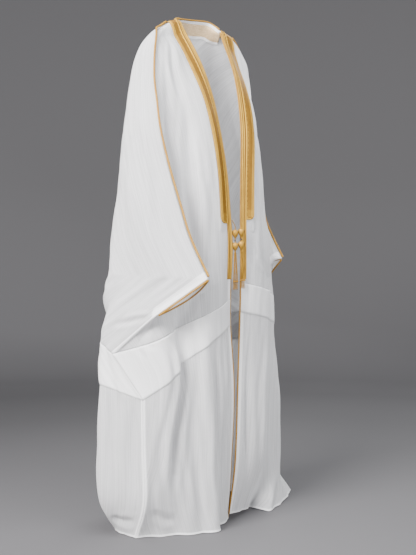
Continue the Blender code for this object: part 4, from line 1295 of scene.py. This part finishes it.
def edge_line(panel, cells, inner_cells, clear):
    """Points beside a panel's free edge, a clear distance off it in its own plane."""
    line = np.array([panel.net[k] for k in cells])
    inner = np.array([panel.net[k] for k in inner_cells])
    normals = unit(np.array([panel.out[k] for k in cells]))
    normals[0], normals[-1] = normals[1], normals[-2]
    tangents = unit(np.gradient(line, axis=0))
    away = unit(line - inner)
    away = away - tangents * (away * tangents).sum(axis=1, keepdims=True)
    away = unit(away - normals * (away * normals).sum(axis=1, keepdims=True))
    return line + away * clear


def trimmed(points, start, end):
    """A line shortened by a length at each end."""
    lengths = lengths_along(points)
    keep = [p for p, n in zip(points, lengths) if start + 0.002 < n < lengths[-1] - end - 0.002]
    ends = [[np.interp(n, lengths, points[:, axis]) for axis in range(3)]
            for n in (start, lengths[-1] - end)]
    return np.array([ends[0]] + keep + [ends[1]])


def front_edge_line(panel):
    rows = range(panel.net.shape[0])
    return edge_line(panel, [(r, 0) for r in rows], [(r, 1) for r in rows], EDGE_CORD + SEAM_GAP)


def sew_cord(node, line, look, twist):
    finished(tube("gold_" + node, line, look, *twist)[0], node)


def make_cords(panels, levels, look):
    last = panels["front_right"].net.shape[1] - 1
    back = panels["back"]
    rows = range(len(levels))
    cuff = [r for r in rows if CUFF_CORNER <= levels[r] <= CUFF_FOOT]
    shoulder = [(0, c) for c in range(int(round(BAND_WIDTH / BAND_STEP)), last + 1)]
    shoulder += [(r, last) for r in rows if 0 < levels[r] <= CUFF_CORNER]
    for side, end, step in (("right", 0, 1), ("left", back.net.shape[1] - 1, -1)):
        front = panels["front_" + side]
        sew_cord("front_edge_cord_" + side, trimmed(front_edge_line(front), 0.004, 0.0), look,
                 EDGE_TWIST)
        centres = []
        for cell in shoulder:
            vector = front.out[cell]
            lift = SHOULDER_CORD + SHOULDER_CLEAR + np.linalg.norm(vector) * CLOTH_HALF
            centres.append(front.net[cell] + unit(vector) * lift)
        sew_cord("shoulder_cord_" + side, trimmed(np.array(centres), 0.006, 0.003), look,
                 SHOULDER_TWIST)
        for name, panel, column, inner in (("front", front, last, last - 1),
                                           ("back", back, end, end + step)):
            line = edge_line(panel, [(r, column) for r in cuff], [(r, inner) for r in cuff],
                             CUFF_CORD + CUFF_CLEAR)
            sew_cord("cuff_cord_%s_%s" % (name, side), trimmed(line, *CUFF_TRIM[side]), look,
                     CUFF_TWIST)
    columns = range(last, last + NECK_STEPS + 1)
    line = edge_line(back, [(0, c) for c in columns], [(1, c) for c in columns],
                     EDGE_CORD + SEAM_GAP)
    sew_cord("neck_edge_cord", trimmed(line, 0.006, 0.006), look, NECK_TWIST)


# Toggles and tassels

def make_bead(node, outline, centre, look):
    vertices, faces, tones_and_shading = turned(outline, centre, 96, 24, 0.05)
    points = np.array(vertices)
    around = np.arctan2(points[:, 1] - centre[1], points[:, 0] - centre[0]) * BEAD_MAP
    return finished(add_mesh("gold_" + node, vertices, faces, look, {"tone_and_shading": tones_and_shading}, around,
                             points[:, 2]), node)


def make_spacer(side, centre, look):
    turns = np.radians(np.linspace(86, -86, 15))
    ball = [(SPACER_RADIUS * math.cos(a), SPACER_RADIUS * math.sin(a)) for a in turns]
    vertices, faces, _ = turned(ball, centre, 28, 1, 0.0, 22)
    points = np.array(vertices)
    return finished(add_mesh("bead_spacer_dark_" + side, vertices, faces, look, None,
                             points[:, 0], points[:, 2]), "bead_spacer_" + side)


def toggle_path(panel, side, x, y, top_z, foot_z):
    """From the front edge to the upper bead in a short bow, then straight down through both."""
    height, away_x, away_y = TOGGLE_TOP[side]
    line = front_edge_line(panel)
    start = np.array([np.interp(-height, -line[:, 2], line[:, axis]) for axis in range(3)])
    start += np.array([away_x, away_y, 0]) * (EDGE_CORD + TOGGLE_CORD + SEAM_GAP)
    end = np.array([x, y, top_z])
    bend = np.array([x, y, top_z + 0.35 * (start[2] - top_z)])
    top = spline([start, bend, end], np.linspace(0, 2, 24))
    rest = end + (np.array([x, y, foot_z]) - end) * np.linspace(0, 1, 30)[1:, None]
    return np.concatenate([top, rest])


def make_toggles(panels, look, dark):
    for side, (x, y) in TOGGLE.items():
        upper = BEAD_UPPER + BEAD_DROP[side]
        lower = BEAD_LOWER + BEAD_DROP[side]
        path = toggle_path(panels["front_" + side], side, x, y, upper + BEAD_OUTLINE[0][1],
                           lower + BEAD_OUTLINE[-1][1] + 0.001)
        cord, line = tube("cord_toggle_" + side, path, look, *TOGGLE_TWIST)
        finished(cord, "toggle_cord_" + side)
        beads = [make_bead("bead_upper_" + side, BEAD_OUTLINE, (x, y, upper), look),
                 make_bead("bead_lower_" + side, LOWER_TOP + BEAD_OUTLINE[:-1], (x, y, lower), look),
                 make_spacer(side, (x, y, BEAD_SPACER + BEAD_DROP[side]), dark)]
        make_tassel(side, x, y, lower + BEAD_OUTLINE[-2][1] - SEAM_GAP, look)


def merged(parts, name, look):
    """Several pieces of one look joined into one mesh object."""
    vertices = []
    faces = []
    tones_and_shading = []
    for part in parts:
        mesh = part.data
        base = len(vertices)
        vertices += [tuple(v.co) for v in mesh.vertices]
        faces += [tuple(base + k for k in p.vertices) for p in mesh.polygons]
        tones_and_shading += [item.value for item in mesh.attributes["tone_and_shading"].data]
        bpy.data.objects.remove(part)
    points = np.array(vertices)
    return add_mesh(name, vertices, faces, look, {"tone_and_shading": tones_and_shading}, points[:, 0], points[:, 2])


def ring_line(centre, width, height, steps, turn):
    """An upright closed ring, turned about the vertical."""
    angles = np.linspace(0, 2 * math.pi, steps)
    return np.column_stack([centre[0] + width * np.sin(angles) * math.cos(turn),
                            centre[1] + width * np.sin(angles) * math.sin(turn),
                            centre[2] + height * np.cos(angles)])


def make_head(x, y, top, look):
    """The tassel's head: a ribbed core with five turns of thread round it."""
    half_width, half_depth, half_height = HEAD_HALF
    angles = np.linspace(0, 2 * math.pi, 33)
    parts = []
    for turn in range(5):
        ring = np.column_stack([x + half_width * 0.62 * np.cos(angles),
                                y + half_depth * 0.62 * np.sin(angles),
                                np.full(33, top - half_height * 2 * (turn + 0.5) / 5)])
        parts.append(tube("part", ring, look, *HEAD_TWIST, caps=False)[0])
    core = np.array([(x, y, top - 0.0002), (x, y, top - 2 * half_height)])
    return parts + [tube("part", core, look, *CORE_TWIST)[0]]


def make_tassel(side, x, y, top, look):
    """A wound head with four thin cords out of it, each knotted, with a loop below the knot."""
    half_width, _, half_height = HEAD_HALF
    base = top - 2 * half_height
    loop_half = (LOOP_DROP - KNOT_DROP) / 2 - 0.001
    parts = make_head(x, y, top, look)
    for k, place in enumerate(STRANDS[side]):
        start_x = x - half_width + 2 * half_width * (k + 0.5) / len(STRANDS[side])
        line = [(start_x, y, base + 0.0015)]
        for share, drop in SPLAY:
            bow = STRAND_SWAY * (-1) ** k * math.sin(math.pi * share)
            line.append((start_x + (place - start_x) * share + bow, y + bow * 0.5, base - drop))
        line = spline(line, np.linspace(0, len(line) - 1, 60))
        parts.append(tube("part", line, look, *STRAND_TWIST)[0])
        for turn in (0.3, 1.5):
            knot = ring_line(line[-1] + np.array([0, 0, 0.0006]), 0.0018, 0.0019, 15, turn)
            parts.append(tube("part", knot, look, *KNOT_TWIST, caps=False)[0])
        middle = line[-1] + np.array([0, 0, -loop_half - 0.0012])
        loop = ring_line(middle, LOOP_WIDTH, loop_half, 41, 0.45 * (k - 1.5))
        parts.append(tube("part", loop, look, *LOOP_TWIST, caps=False)[0])
    finished(merged(parts, "gold_tassel_" + side, look), "tassel_" + side)


make_camera()
make_stage()
make_lights()
panels, levels = make_panels()
gold = gold_look("gold_thread", 0.55)
braid = gold_look("gold_braid", 0.30)
dark = dark_look("dark_bead")
make_toggles(panels, gold, dark)
make_cords(panels, levels, braid)
sheets, double = make_cloth(panels, levels)
sheets.update(make_facing(panels, double))
make_bands(panels, gold)
make_back_band(panels, gold)
